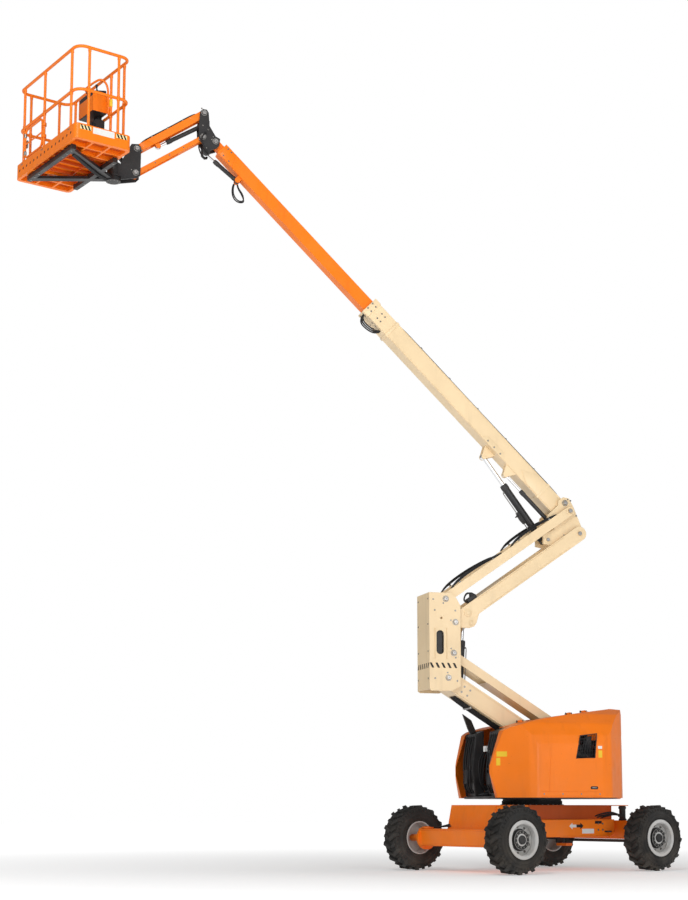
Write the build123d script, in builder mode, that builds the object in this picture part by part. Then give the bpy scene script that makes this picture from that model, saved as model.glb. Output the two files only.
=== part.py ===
from build123d import *

import os
from math import asin, atan2, cos, degrees, hypot, radians, sin, sqrt

# Articulating boom lift: a four-wheel chassis with a fixed and a steered axle, a slewing turntable
# under two hoods, a twin-parallelogram tower, a telescopic boom, a parallelogram jib and a platform.
# Frame: millimetres, +Z up, origin on the ground under the slewing axis, +X towards the fixed axle.
# The chassis and wheels are drawn in that frame. All that slews is drawn in the boom's own plane, X
# ahead along the boom and Y across it, and is then turned by SWING about Z. The platform is drawn
# about its own rotator axis and is turned by PLATFORM_TURN about that axis before it slews too.
os.makedirs("parts", exist_ok=True)

SWING = -20.0
PLATFORM_TURN = 20.0
FIT = 0.5  # radial play of a pin in its bore
SEAT = 0.3  # gap between seated pieces of different bodies

# ---- chassis, wheels and axles ----
WHEELBASE = 2340.0
TRACK = 2010.0
TYRE_R = 420.0
TYRE_W = 310.0
TYRE_BEAD_R = 212.0
LUGS = 12  # in each of the tyre's two rows
LUG_T = 48.0
LUG_ANGLE = 30.0
LUG_REACH = 130.0
CARCASS_R = TYRE_R - 34.0
RIM_WALL = 14.0
RIM_FLANGE_R = 228.0
RIM_DISC_T = 22.0
RIM_DISC_Y = 40.0
HUB_R = 118.0
HUB_OUT = 70.0
SPINDLE_R = 45.0
SPINDLE_END = TRACK / 2 + RIM_DISC_Y - SEAT
FRAME_HALF_W = 430.0
FRAME_FRONT = WHEELBASE / 2 - 170.0  # behind the fixed axle
FRAME_REAR = 160.0 - WHEELBASE / 2  # ahead of the steered axle
FRAME_NOSE = 70.0
FRAME_TOP = 840.0
FRAME_BOTTOM = 470.0
FRAME_WALL = 20.0
WEBS = [(FRAME_FRONT - 245.0), -385.0]  # x of each plate across the frame
WEB_T = 30.0
SIDE_BOX_OUT = 478.0  # a box along each side of the frame
SIDE_BOX_LOW = 432.0
SIDE_BOX_TOP = 655.0
SIDE_BOX_FRONT = FRAME_FRONT - 90.0
HUB_PLATE_R = 150.0
FRONT_AXLE_LOW = 320.0
FRONT_AXLE_TOP = 540.0
FRONT_AXLE_HALF_X = 110.0
FRONT_AXLE_HALF_Y = 760.0
REAR_AXLE_LOW = 400.0
REAR_AXLE_TOP = 640.0
REAR_AXLE_HALF_X = 90.0
REAR_AXLE_HALF_Y = 640.0
AXLE_PIVOT_R = 55.0
KNUCKLE_Y = 740.0
KINGPIN_R = 26.0
KNUCKLE_R = 60.0
FORK_T = 36.0
STEER_ARM = 190.0
TIE_ROD_R = 20.0
OSC_R = 42.0

# ---- turntable and hoods ----
RING_R = 380.0
RING_BORE_R = 220.0
TABLE_LOW = 920.0
TABLE_T = 30.0
EAR_IN = 205.0
EAR_T = 30.0
HOOD_LOW = 930.0
HOOD_T = 8.0

# ---- pins of the tower, boom and jib, (x, z) in the boom's plane ----
TOWER_ANGLE = 32.0
LOWER_RISER_L = 2250.0
UPPER_ANGLE = 35.0
UPPER_RISER_L = 2170.0
LOWER_PAIR = (-73.0, 320.0)  # from the main riser's pin to its link's pin
UPPER_PAIR = (130.0, 300.0)
UPRIGHT_FOOT_PIN = (1220.0, 2460.0)
UPRIGHT_HEAD_PIN = (1120.0, 3180.0)
BOOM_PIN = (180.0, 415.0)  # from the upper riser's top pin
BOOM_ANGLE = 44.5
BOOM_DROP = 97.0  # from the boom's pin down to its centre line
BASE_L = 3700.0
FLY_REACH = 6600.0
PIN_R = 30.0
SMALL_PIN_R = 20.0


def ahead(point, angle, length, rise=0.0):
    """The point `length` along a line at `angle` above +X, and `rise` to the left of it."""
    a = radians(angle)
    return (
        point[0] + length * cos(a) - rise * sin(a),
        point[1] + length * sin(a) + rise * cos(a),
    )


def plus(point, step):
    return (point[0] + step[0], point[1] + step[1])


LOW_D = UPRIGHT_FOOT_PIN
LOW_C = plus(LOW_D, LOWER_PAIR)
FOOT_MAIN = ahead(LOW_D, TOWER_ANGLE, -LOWER_RISER_L)
FOOT_LINK = plus(FOOT_MAIN, LOWER_PAIR)
UP_B = UPRIGHT_HEAD_PIN
UP_A = plus(UP_B, UPPER_PAIR)
TOP_B = ahead(UP_B, 180.0 - UPPER_ANGLE, UPPER_RISER_L)
TOP_A = plus(TOP_B, UPPER_PAIR)
BOOM_M = plus(TOP_B, BOOM_PIN)
LIFT_FOOT = plus(TOP_B, (430.0, -90.0))
LEVEL_FOOT = plus(TOP_B, (370.0, 160.0))


def on_boom(along, below_axis=0.0):
    """A point of the boom, `along` from its pin and `below_axis` under its centre line."""
    return ahead(BOOM_M, BOOM_ANGLE, along, -BOOM_DROP - below_axis)


def below_line(point, start, angle):
    """How far a point lies under a line from `start` at `angle`."""
    a = radians(angle)
    return (point[0] - start[0]) * sin(a) - (point[1] - start[1]) * cos(a)


# ---- sections ----
RISER_HALF = 190.0
RISER_DEPTH = 230.0
RISER_LINK_DEPTH = 110.0
UPPER_DEPTH = 190.0
UPPER_LINK_DEPTH = 122.0
BAR_OUT = 205.0
PLATE = 20.0
UPRIGHT_HALF = 250.0
UPRIGHT_REAR = UPRIGHT_HEAD_PIN[0] - 70.0
UPRIGHT_FRONT = UPRIGHT_FOOT_PIN[0] + 255.0
UPRIGHT_LOW = UPRIGHT_FOOT_PIN[1] - 170.0
UPRIGHT_TOP = UPRIGHT_HEAD_PIN[1] + 380.0
HEAD_IN = 118.0
HEAD_OUT = 148.0
BASE_DEPTH = 235.0
BASE_HALF = 107.5
BASE_WALL = 8.0
FLY_DEPTH = 170.0
FLY_HALF = 75.0
FLY_WALL = 6.0
FLY_INSIDE = 3040.0  # from the boom's pin to the fly's hidden end, at rest
JIB_ANGLE = -33.8
JIB_L = 1045.0
JIB_PAIR = (-10.0, 325.0)
JIB_DEPTH = 95.0
JIB_HALF = 54.0
JIB_BAR_DEPTH = 60.0
JIB_BAR_IN = 38.0
JIB_WALL = 8.0
JIB_LUG_IN = 20.0
JIB_LUG_OUT = 32.0
CHEEK_IN = 60.0
CHEEK_OUT = 80.0
FLY_TIP = on_boom(FLY_REACH)
JIB_J2 = plus(FLY_TIP, (164.0, 48.0))
JIB_J1 = plus(JIB_J2, JIB_PAIR)
JIB_O2 = ahead(JIB_J2, JIB_ANGLE, JIB_L)
JIB_O1 = plus(JIB_O2, JIB_PAIR)
JIB_CYL_FOOT = plus(JIB_J1, (10.0, -145.0))
JIB_CYL_EYE = ahead(JIB_J1, JIB_ANGLE, 760.0, -85.0)
SLAVE_EYE = ahead(FLY_TIP, -52.5, 190.0)
SLAVE_FOOT = on_boom(FLY_REACH - 550.0, 130.0)
ROTATOR_X = JIB_O2[0] + 275.0
ROTATOR_R = 85.0

# ---- platform, about its rotator axis, X away from the boom ----
PLAT_Z = JIB_O2[1] - 48.15  # the platform hangs from the jib's outer bracket
PLAT_NEAR_X = 200.0
PLAT_W = 760.0
PLAT_L = 1720.0
TOE_H = 185.0
FLOOR_Z = PLAT_Z + 70.0
RAIL_R = 19.0
RAIL_TOP = PLAT_Z + 1190.0
RAIL_MID = PLAT_Z + 640.0
RAIL_CORNER = 120.0


def slab(outline, near, far, mode=Mode.ADD):
    """An outline of (x, z) points, filled from y = near to y = far."""
    with BuildSketch(Plane.XZ.offset(-far)) as face:
        with BuildLine():
            Polyline(*outline, close=True)
        make_face()
    extrude(to_extrude=face.sketch, amount=far - near, mode=mode)


def disc(point, radius, near, far, mode=Mode.ADD):
    """A round boss, pin or bore across the boom's plane."""
    with BuildSketch(Plane.XZ.offset(-far)) as face:
        with Locations(point):
            Circle(radius)
    extrude(to_extrude=face.sketch, amount=far - near, mode=mode)


def bar(start, end, depth, near, far, over=0.0, mode=Mode.ADD):
    """A flat bar between two points, `depth` deep and `over` longer at each end."""
    angle = degrees(atan2(end[1] - start[1], end[0] - start[0]))
    length = hypot(end[0] - start[0], end[1] - start[1])
    middle = ((start[0] + end[0]) / 2, (start[1] + end[1]) / 2)
    with BuildSketch(Plane.XZ.offset(-far)) as face:
        with Locations(middle):
            Rectangle(length + 2 * over, depth, rotation=angle)
    extrude(to_extrude=face.sketch, amount=far - near, mode=mode)


def both_sides(make, inner, outer, *args, **kwargs):
    """Makes a plate or boss at y = inner..outer and its mirror image."""
    make(*args, inner, outer, **kwargs)
    make(*args, -outer, -inner, **kwargs)


def block(low, high, mode=Mode.ADD):
    """An upright box between two corners."""
    size = [b - a for a, b in zip(low, high)]
    middle = tuple((a + b) / 2 for a, b in zip(low, high))
    with Locations(middle):
        Box(*size, mode=mode)


def finish(piece, name, slews=True, turns=False):
    """Turns a finished piece to its place, labels it and writes its STEP file."""
    if turns:
        piece.part = piece.part.moved(Location((0, 0, 0), (0, 0, PLATFORM_TURN)))
        piece.part = piece.part.moved(Location((ROTATOR_X, 0, 0)))
    if slews:
        piece.part = piece.part.moved(Location((0, 0, 0), (0, 0, SWING)))
    piece.part.label = name
    export_step(piece.part, f"parts/{name}.step")


# ======== chassis ========
with BuildPart() as chassis_frame:
    nose = FRAME_FRONT + FRAME_NOSE
    outline = [
        (FRAME_REAR, FRAME_BOTTOM),
        (FRAME_REAR, FRAME_TOP),
        (FRAME_FRONT, FRAME_TOP),
        (nose, FRONT_AXLE_TOP),
        (nose, FRAME_BOTTOM),
    ]
    slab(outline, -FRAME_HALF_W, FRAME_HALF_W)
    with BuildSketch(Plane.XY.offset(FRAME_BOTTOM)) as inside:
        with Locations(((FRAME_FRONT + FRAME_REAR) / 2, 0)):
            Rectangle(FRAME_FRONT - FRAME_REAR - 2 * FRAME_WALL, 2 * (FRAME_HALF_W - FRAME_WALL))
    extrude(to_extrude=inside.sketch, amount=FRAME_TOP - FRAME_BOTTOM - FRAME_WALL, mode=Mode.SUBTRACT)
    for x in WEBS:
        block(
            (x - WEB_T / 2, -FRAME_HALF_W, FRAME_BOTTOM),
            (x + WEB_T / 2, FRAME_HALF_W, FRAME_TOP),
        )
    side_box = [
        (FRAME_REAR, SIDE_BOX_LOW + 60),
        (FRAME_REAR + 90, SIDE_BOX_LOW),
        (SIDE_BOX_FRONT, SIDE_BOX_LOW),
        (SIDE_BOX_FRONT, SIDE_BOX_TOP - 70),
        (SIDE_BOX_FRONT - 70, SIDE_BOX_TOP),
        (FRAME_REAR, SIDE_BOX_TOP),
    ]
    both_sides(slab, FRAME_HALF_W - FRAME_WALL / 2, SIDE_BOX_OUT, side_box)
    block(  # crossmember over the steered axle's two cylinders
        (FRAME_REAR - 180, -560, FRAME_TOP - 10),
        (FRAME_REAR + 40, 560, FRAME_TOP),
    )
    with Locations((0, 0, FRAME_TOP)):
        Hole(RING_BORE_R)

with BuildPart() as slewing_ring:
    with BuildSketch(Plane.XY.offset(FRAME_TOP)):
        Circle(RING_R)
        Circle(RING_BORE_R, mode=Mode.SUBTRACT)
    extrude(amount=TABLE_LOW - SEAT - FRAME_TOP)

with BuildPart() as front_axle:
    axle_x = WHEELBASE / 2
    block(
        (FRAME_FRONT + FRAME_NOSE, -FRONT_AXLE_HALF_Y, FRONT_AXLE_LOW),
        (axle_x + FRONT_AXLE_HALF_X, FRONT_AXLE_HALF_Y, FRONT_AXLE_TOP),
    )
    with BuildSketch(Plane.XZ.offset(-FRONT_AXLE_HALF_Y)) as hub_plate:
        with Locations((axle_x, TYRE_R)):
            Circle(HUB_PLATE_R)
    extrude(to_extrude=hub_plate.sketch, amount=-FORK_T)
    extrude(to_extrude=hub_plate.sketch.mirror(Plane.XZ), amount=FORK_T)
    block(
        (FRAME_FRONT - 220, -FRAME_HALF_W + FRAME_WALL, FRONT_AXLE_LOW),
        (FRAME_FRONT + FRAME_NOSE, FRAME_HALF_W - FRAME_WALL, FRAME_BOTTOM),
    )
    with Locations(Location((axle_x, 0, TYRE_R), (90, 0, 0))):
        Cylinder(SPINDLE_R, 2 * SPINDLE_END)

with BuildPart() as rear_axle:
    axle_x = -WHEELBASE / 2
    pivot_z = (REAR_AXLE_LOW + REAR_AXLE_TOP) / 2
    block(
        (axle_x - REAR_AXLE_HALF_X, -REAR_AXLE_HALF_Y, REAR_AXLE_LOW),
        (axle_x + REAR_AXLE_HALF_X, REAR_AXLE_HALF_Y, REAR_AXLE_TOP),
    )
    for side in (-1, 1):
        for low, high in ((TYRE_R - 130, TYRE_R - 130 + FORK_T), (TYRE_R + 130 - FORK_T, TYRE_R + 130)):
            block(
                (axle_x - KNUCKLE_R, min(side * (KNUCKLE_Y + 10), side * 560), low),
                (axle_x + KNUCKLE_R, max(side * (KNUCKLE_Y + 10), side * 560), high),
            )
        with Locations((axle_x, side * KNUCKLE_Y, TYRE_R)):
            Cylinder(KINGPIN_R, 260)
    with Locations(Location((FRAME_REAR - 40, 0, pivot_z), (0, 90, 0))):
        Cylinder(AXLE_PIVOT_R, 80)

finish(chassis_frame, "chassis_frame", slews=False)
finish(slewing_ring, "slewing_ring", slews=False)
finish(front_axle, "front_axle", slews=False)
finish(rear_axle, "rear_axle", slews=False)

# Oscillation cylinders, one each side between the frame and the steered axle.
with BuildPart() as oscillation_cylinders:
    for side in (-1, 1):
        with Locations((-WHEELBASE / 2 + 30, side * 500, 735)):
            Cylinder(OSC_R, 190)
finish(oscillation_cylinders, "oscillation_cylinders", slews=False)

# Steered knuckles: a boss on the kingpin, a spindle to the wheel and an arm to the tie rod.
for side, name in ((1, "left"), (-1, "right")):
    with BuildPart() as knuckle:
        axle_x = -WHEELBASE / 2
        boss = 260 - 2 * FORK_T - 6
        with Locations((axle_x, side * KNUCKLE_Y, TYRE_R)):
            Cylinder(KNUCKLE_R, boss)
        with Locations(Location((axle_x, side * (KNUCKLE_Y + SPINDLE_END) / 2, TYRE_R), (90, 0, 0))):
            Cylinder(SPINDLE_R, SPINDLE_END - KNUCKLE_Y)
        block(
            (axle_x - STEER_ARM - 25, side * KNUCKLE_Y - 25, TYRE_R - 25),
            (axle_x, side * KNUCKLE_Y + 25, TYRE_R),
        )
        with Locations((axle_x, side * KNUCKLE_Y, TYRE_R)):
            Cylinder(KINGPIN_R + FIT, 400, mode=Mode.SUBTRACT)
    finish(knuckle, f"knuckle_{name}", slews=False)

with BuildPart() as tie_rod:
    axle_x = -WHEELBASE / 2
    with Locations(Location((axle_x - STEER_ARM, 0, TYRE_R - 50), (90, 0, 0))):
        Cylinder(TIE_ROD_R, 2 * KNUCKLE_Y)
    for side in (-1, 1):
        with Locations((axle_x - STEER_ARM, side * KNUCKLE_Y, TYRE_R - 38 - SEAT)):
            Cylinder(12, 26)
finish(tie_rod, "tie_rod", slews=False)

# ======== wheels ========
WHEELS = (  # name, x, side of the machine
    ("front_left", WHEELBASE / 2, 1),
    ("front_right", WHEELBASE / 2, -1),
    ("rear_left", -WHEELBASE / 2, 1),
    ("rear_right", -WHEELBASE / 2, -1),
)

# The tyre at the origin, its axle along Y: a carcass and two rows of slanted lugs, which stands on
# one leading corner of each row.
half = TYRE_W / 2
corner_r = TYRE_R / cos(radians(90.0 / LUGS))
corner_slip = LUG_REACH * sin(radians(LUG_ANGLE)) + LUG_T / 2 * cos(radians(LUG_ANGLE))
lug_top = sqrt(corner_r**2 - corner_slip**2)
lug_start = 90.0 + degrees(asin(corner_slip / corner_r)) - 90.0 / LUGS
with BuildPart() as tyre_shape:
    side = [(TYRE_BEAD_R, half - 35), (TYRE_BEAD_R + 75, half - 6), (CARCASS_R, half - 30)]
    with BuildSketch(Plane.XY) as section:
        with BuildLine():
            Polyline(*side, *[(r, -y) for r, y in reversed(side)], close=True)
        make_face()
    revolve(section.sketch, axis=Axis.Y)
    for row, turn in ((1, 0.0), (-1, 180.0 / LUGS)):
        outline = [(CARCASS_R - 14, 0), (lug_top, 0), (lug_top, row * LUG_REACH),
                   (CARCASS_R - 40, row * 160), (CARCASS_R - 40, row * 60)]
        for n in range(LUGS):
            place = Location((0, 0, 0), (0, lug_start + n * 360.0 / LUGS + turn, 0))
            place *= Location((0, 0, 0), (row * LUG_ANGLE, 0, 0))
            with BuildSketch(Plane(place)) as lug:
                with BuildLine():
                    Polyline(*outline, close=True)
                make_face()
            extrude(to_extrude=lug.sketch, amount=LUG_T / 2, both=True)

for name, wheel_x, side in WHEELS:
    with BuildPart() as tyre:
        with Locations((wheel_x, side * TRACK / 2, TYRE_R)):
            add(tyre_shape.part)
    finish(tyre, f"tyre_{name}", slews=False)

    wheel = Plane(origin=(wheel_x, side * TRACK / 2, TYRE_R), x_dir=(1, 0, 0), z_dir=(0, side, 0))
    with BuildPart() as rim:
        rim_r = TYRE_BEAD_R - SEAT
        with BuildSketch(Plane(origin=wheel.origin, x_dir=wheel.x_dir, z_dir=-wheel.y_dir)):
            with BuildLine():
                Polyline(
                    (0, RIM_DISC_Y),
                    (rim_r - RIM_WALL, RIM_DISC_Y),
                    (rim_r - RIM_WALL, -half + 30),
                    (rim_r, -half + 30),
                    (rim_r, half - 30),
                    (RIM_FLANGE_R, half - 20),
                    (RIM_FLANGE_R, half - 6),
                    (rim_r - RIM_WALL, half - 6),
                    (rim_r - RIM_WALL, RIM_DISC_Y + RIM_DISC_T),
                    (HUB_R, RIM_DISC_Y + RIM_DISC_T),
                    (HUB_R, RIM_DISC_Y + HUB_OUT),
                    (0, RIM_DISC_Y + HUB_OUT),
                    close=True,
                )
            make_face()
        revolve(axis=Axis(wheel.origin, wheel.z_dir))
    finish(rim, f"wheel_{name}", slews=False)

# ======== turntable ========
TABLE_TOP = TABLE_LOW + TABLE_T
COUNTERWEIGHT_TOP = 1480.0
COUNTERWEIGHT_PLAN = [(-960, 560), (-995, 560), (-1060, 410), (-1085, 245), (-1145, 245)]
PROFILE = [(750, HOOD_LOW), (840, 1290), (690, 1765), (600, 1812), (340, 1885), (-80, 1965),
           (-880, 2075), (-1020, 2060), (-1150, 1940), (-1150, 1830), (-1060, 1720), (-1145, 1500),
           (-1165, 1100), (-1160, HOOD_LOW)]


def hood_top(x):
    """Height of the hoods' top line at x."""
    for (ahead_x, ahead_z), (rear_x, rear_z) in zip(PROFILE[2:], PROFILE[3:]):
        if rear_x <= x <= ahead_x:
            return ahead_z + (rear_z - ahead_z) * (x - ahead_x) / (rear_x - ahead_x)


# Each hood turns about two pins over its inner edge, on a line along the hoods' sloping tops.
HOOD_IN = 256.0
HINGE_Y = HOOD_IN - 12.5
HINGE_RISE = 14.0
HINGE_R = 13.0
HINGE_PIN_R = 6.0
HINGE_HALF = 30.0
HINGE_LUG_T = 8.0
HINGES = [(x, hood_top(x) + HINGE_RISE) for x in (-640.0, 250.0)]
HINGE_SLOPE = degrees(atan2(HINGES[1][1] - HINGES[0][1], HINGES[1][0] - HINGES[0][0]))


def hinge_rod(point, side, radius, half_length, mode=Mode.ADD):
    """A round bar along the hoods' hinge line."""
    a = radians(HINGE_SLOPE)
    along = Plane(origin=(point[0], side * HINGE_Y, point[1]), x_dir=(0, 1, 0), z_dir=(cos(a), 0, sin(a)))
    with BuildSketch(along) as face:
        Circle(radius)
    extrude(to_extrude=face.sketch, amount=half_length, both=True, mode=mode)


with BuildPart() as turntable_frame:
    with BuildSketch(Plane.XY.offset(TABLE_LOW)):
        with BuildLine():
            Polyline(
                (-900, -650), (-550, -920), (350, -920), (720, -600),
                (720, 600), (350, 920), (-550, 920), (-900, 650), close=True,
            )
        make_face()
        Circle(RING_BORE_R - 40, mode=Mode.SUBTRACT)
    extrude(amount=TABLE_T)
    ear = [(-960, TABLE_TOP), (-330, TABLE_TOP), (-560, 1290), (-640, 1600), (-690, 1680),
           (-830, 1680), (-960, 1480)]
    both_sides(slab, EAR_IN, EAR_IN + EAR_T, ear)
    slab([(-960, TABLE_TOP), (-930, TABLE_TOP), (-930, 1480), (-960, 1480)], -EAR_IN, EAR_IN)
    disc(FOOT_MAIN, PIN_R, -EAR_IN - EAR_T - 15, EAR_IN + EAR_T + 15)
    disc(FOOT_LINK, PIN_R, -EAR_IN - EAR_T - 15, EAR_IN + EAR_T + 15)
    post_out = HOOD_IN - 6
    for (x, z), foot_z in zip(HINGES, (1350, TABLE_LOW)):
        reach = HINGE_HALF + 2 * HINGE_LUG_T
        top = z - HINGE_R - 10
        both_sides(slab, EAR_IN + EAR_T, post_out, [(x - reach, foot_z), (x + reach, foot_z),
                                                   (x + reach, top), (x - reach, top)])
        for sign in (-1, 1):
            near = x + sign * (HINGE_HALF + 1.5 * HINGE_LUG_T)
            both_sides(slab, EAR_IN + EAR_T, post_out, [
                (near - HINGE_LUG_T / 2, top - 10), (near + HINGE_LUG_T / 2, top - 10),
                (near + HINGE_LUG_T / 2, z + 12), (near - HINGE_LUG_T / 2, z + 12)])
            hinge_rod((x, z), sign, HINGE_PIN_R, reach + 6)
finish(turntable_frame, "turntable_frame")

with BuildPart() as counterweight:
    with BuildSketch(Plane.XY.offset(TABLE_LOW)):
        with BuildLine():
            Polyline(*COUNTERWEIGHT_PLAN, *[(x, -y) for x, y in reversed(COUNTERWEIGHT_PLAN)],
                     close=True)
        make_face()
    extrude(amount=COUNTERWEIGHT_TOP - TABLE_LOW)
finish(counterweight, "counterweight")

UNIT_REAR = -640.0
UNIT_IN = 320.0
UNIT_OUT = 880.0
ENGINE_FRONT = 330.0
ENGINE_H = 610.0
TANK_FRONT = 300.0
TANK_H = 550.0
with BuildPart() as engine:
    block((UNIT_REAR, -UNIT_OUT, TABLE_TOP), (ENGINE_FRONT, -UNIT_IN, TABLE_TOP + ENGINE_H))
finish(engine, "engine")

with BuildPart() as hydraulic_tank:
    block((UNIT_REAR, UNIT_IN, TABLE_TOP), (TANK_FRONT, UNIT_OUT, TABLE_TOP + TANK_H))
finish(hydraulic_tank, "hydraulic_tank")

PANEL = [(560, TABLE_TOP), (670, TABLE_TOP), (710, 1300), (660, 1770), (560, 1810)]
PANEL_IN = 262.0
PANEL_OUT = 644.0 - SEAT
FIN = [(580, 1800), (660, 1768), (700, 1850), (770, 2040), (650, 1960)]
FIN_Y = 490.0
FIN_T = 30.0

# Black panels each side of the opening between the hoods, with the fin on the far one.
with BuildPart() as front_panels:
    both_sides(slab, PANEL_IN, PANEL_OUT, PANEL)
    slab(FIN, -FIN_Y - FIN_T, -FIN_Y)
finish(front_panels, "front_panels")

HOOD_OUT = 1035.0
PROFILE_ROUND = 60.0
PLAN_ROUND = 120.0
HOOD_MOUTH_X = 540.0  # the hoods stop here inside HOOD_MOUTH_Y, where the front panels show
HOOD_MOUTH_Y = 644.0
PLAN = [(780, HOOD_IN), (840, 660), (430, 1000), (330, HOOD_OUT), (-560, HOOD_OUT), (-690, 990),
        (-960, 670), (-1090, 430), (-1140, HOOD_IN)]
SECTION = [(HOOD_IN, HOOD_LOW), (HOOD_OUT, HOOD_LOW), (HOOD_OUT, 1600), (1010, 1720), (930, 1860),
           (780, 1990), (520, 2085), (HOOD_IN, 2100)]
WINDOW = [(-190, 1420), (-250, 1700), (-470, 1730), (-440, 1430)]


def hood_body(side, wall):
    """The hood's outer form, or its hollow where `wall` is its thickness."""
    with BuildPart() as body:
        with BuildSketch(Plane.XZ.offset(-side * 600)) as profile:
            with BuildLine():
                Polyline(*PROFILE, close=True)
            make_face()
            fillet(profile.vertices().filter_by(lambda v: v.Y > HOOD_LOW + 1), PROFILE_ROUND)
            if wall:
                offset(amount=-wall)
                with Locations((-205, HOOD_LOW)):
                    Rectangle(1890, 200)
        extrude(to_extrude=profile.sketch, amount=600, both=True)
        with BuildSketch(Plane.XY.offset(800)) as plan:
            with BuildLine():
                Polyline(*[(x, side * y) for x, y in PLAN], close=True)
            make_face()
            fillet(plan.vertices().filter_by(lambda v: abs(v.Y) > HOOD_IN + 1), PLAN_ROUND)
            if wall:
                offset(amount=-wall)
                with Locations((-190, side * HOOD_IN)):
                    Rectangle(1880, 60)
        extrude(to_extrude=plan.sketch, amount=1500, mode=Mode.INTERSECT)
        with BuildSketch(Plane.YZ.offset(-1300)) as section:
            with BuildLine():
                Polyline(*[(side * y, z) for y, z in SECTION], close=True)
            make_face()
            corners = section.vertices().filter_by(lambda v: abs(v.X) > HOOD_IN + 1 and v.Y > HOOD_LOW + 1)
            fillet(corners, PLAN_ROUND)
            if wall:
                offset(amount=-wall)
                with Locations((side * 640, HOOD_LOW)):
                    Rectangle(760, 200)
                with Locations((side * HOOD_IN, 1480)):
                    Rectangle(100, 1140)
        extrude(to_extrude=section.sketch, amount=2400, mode=Mode.INTERSECT)
    return body.part


for side, name in ((1, "left"), (-1, "right")):
    shell = hood_body(side, 0.0) - hood_body(side, HOOD_T)
    with BuildPart() as hood:
        add(shell)
        near, far = sorted((side * (HOOD_OUT - 60), side * (HOOD_OUT + 20)))
        slab(WINDOW, near, far, mode=Mode.SUBTRACT)
        near, far = sorted((side * (HOOD_IN - 20), side * HOOD_MOUTH_Y))
        block((HOOD_MOUTH_X, near, HOOD_LOW - 20), (1000, far, 2200), mode=Mode.SUBTRACT)
        near, far = sorted((side * HINGE_Y, side * (HOOD_IN + 74)))
        for point in HINGES:
            ends = [ahead(point, HINGE_SLOPE, reach, -HINGE_RISE + 2) for reach in (-HINGE_HALF, HINGE_HALF)]
            bar(*ends, 8, near, far)
            hinge_rod(point, side, HINGE_R, HINGE_HALF)
            hinge_rod(point, side, HINGE_PIN_R + FIT, HINGE_HALF, mode=Mode.SUBTRACT)
    finish(hood, f"hood_{name}")

# ======== tower ========
TOWER_PIN_R = 25.0
TOWER_FOOT = ahead(LOW_D, TOWER_ANGLE, -270.0)
TOWER_EYE = ahead(UP_B, 180.0 - UPPER_ANGLE, 230.0)


def flange(start, angle, first, last, rise, thick, half):
    """A top or bottom plate of a box beam, at `rise` from its line."""
    bar(ahead(start, angle, first, rise), ahead(start, angle, last, rise), thick, -half, half)


with BuildPart() as lower_riser:
    both_sides(bar, RISER_HALF - PLATE, RISER_HALF, FOOT_MAIN, LOW_D, RISER_DEPTH)
    for end in (FOOT_MAIN, LOW_D):
        both_sides(disc, RISER_HALF - PLATE, RISER_HALF, end, RISER_DEPTH / 2)
    rise = RISER_DEPTH / 2 - PLATE / 2
    flange(FOOT_MAIN, TOWER_ANGLE, 60, LOWER_RISER_L - 520, rise, PLATE, RISER_HALF - PLATE)
    flange(FOOT_MAIN, TOWER_ANGLE, 60, LOWER_RISER_L - 60, -rise, PLATE, RISER_HALF - PLATE)
    for end in (FOOT_MAIN, LOW_D):
        both_sides(disc, RISER_HALF - PLATE, RISER_HALF, end, PIN_R + FIT, mode=Mode.SUBTRACT)
    disc(TOWER_FOOT, TOWER_PIN_R, -RISER_HALF + PLATE, RISER_HALF - PLATE)
finish(lower_riser, "lower_riser")

LINK_OUT = 160.0
STUB_IN = 130.0
EYE_GAP = 3.0  # beside a rod's eye, which drifts from its pin
with BuildPart() as lower_riser_link:
    both_sides(bar, LINK_OUT - PLATE, LINK_OUT, FOOT_LINK, LOW_C, RISER_LINK_DEPTH)
    for end in (FOOT_LINK, LOW_C):
        both_sides(disc, LINK_OUT - PLATE, LINK_OUT, end, RISER_LINK_DEPTH / 2)
    rise = RISER_LINK_DEPTH / 2 - 5
    for sign in (-1, 1):
        flange(FOOT_LINK, TOWER_ANGLE, 200, LOWER_RISER_L - 600, sign * rise, 10, LINK_OUT - PLATE)
    for end in (FOOT_LINK, LOW_C):
        both_sides(disc, LINK_OUT - PLATE, LINK_OUT, end, PIN_R + FIT, mode=Mode.SUBTRACT)
finish(lower_riser_link, "lower_riser_link")

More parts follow.
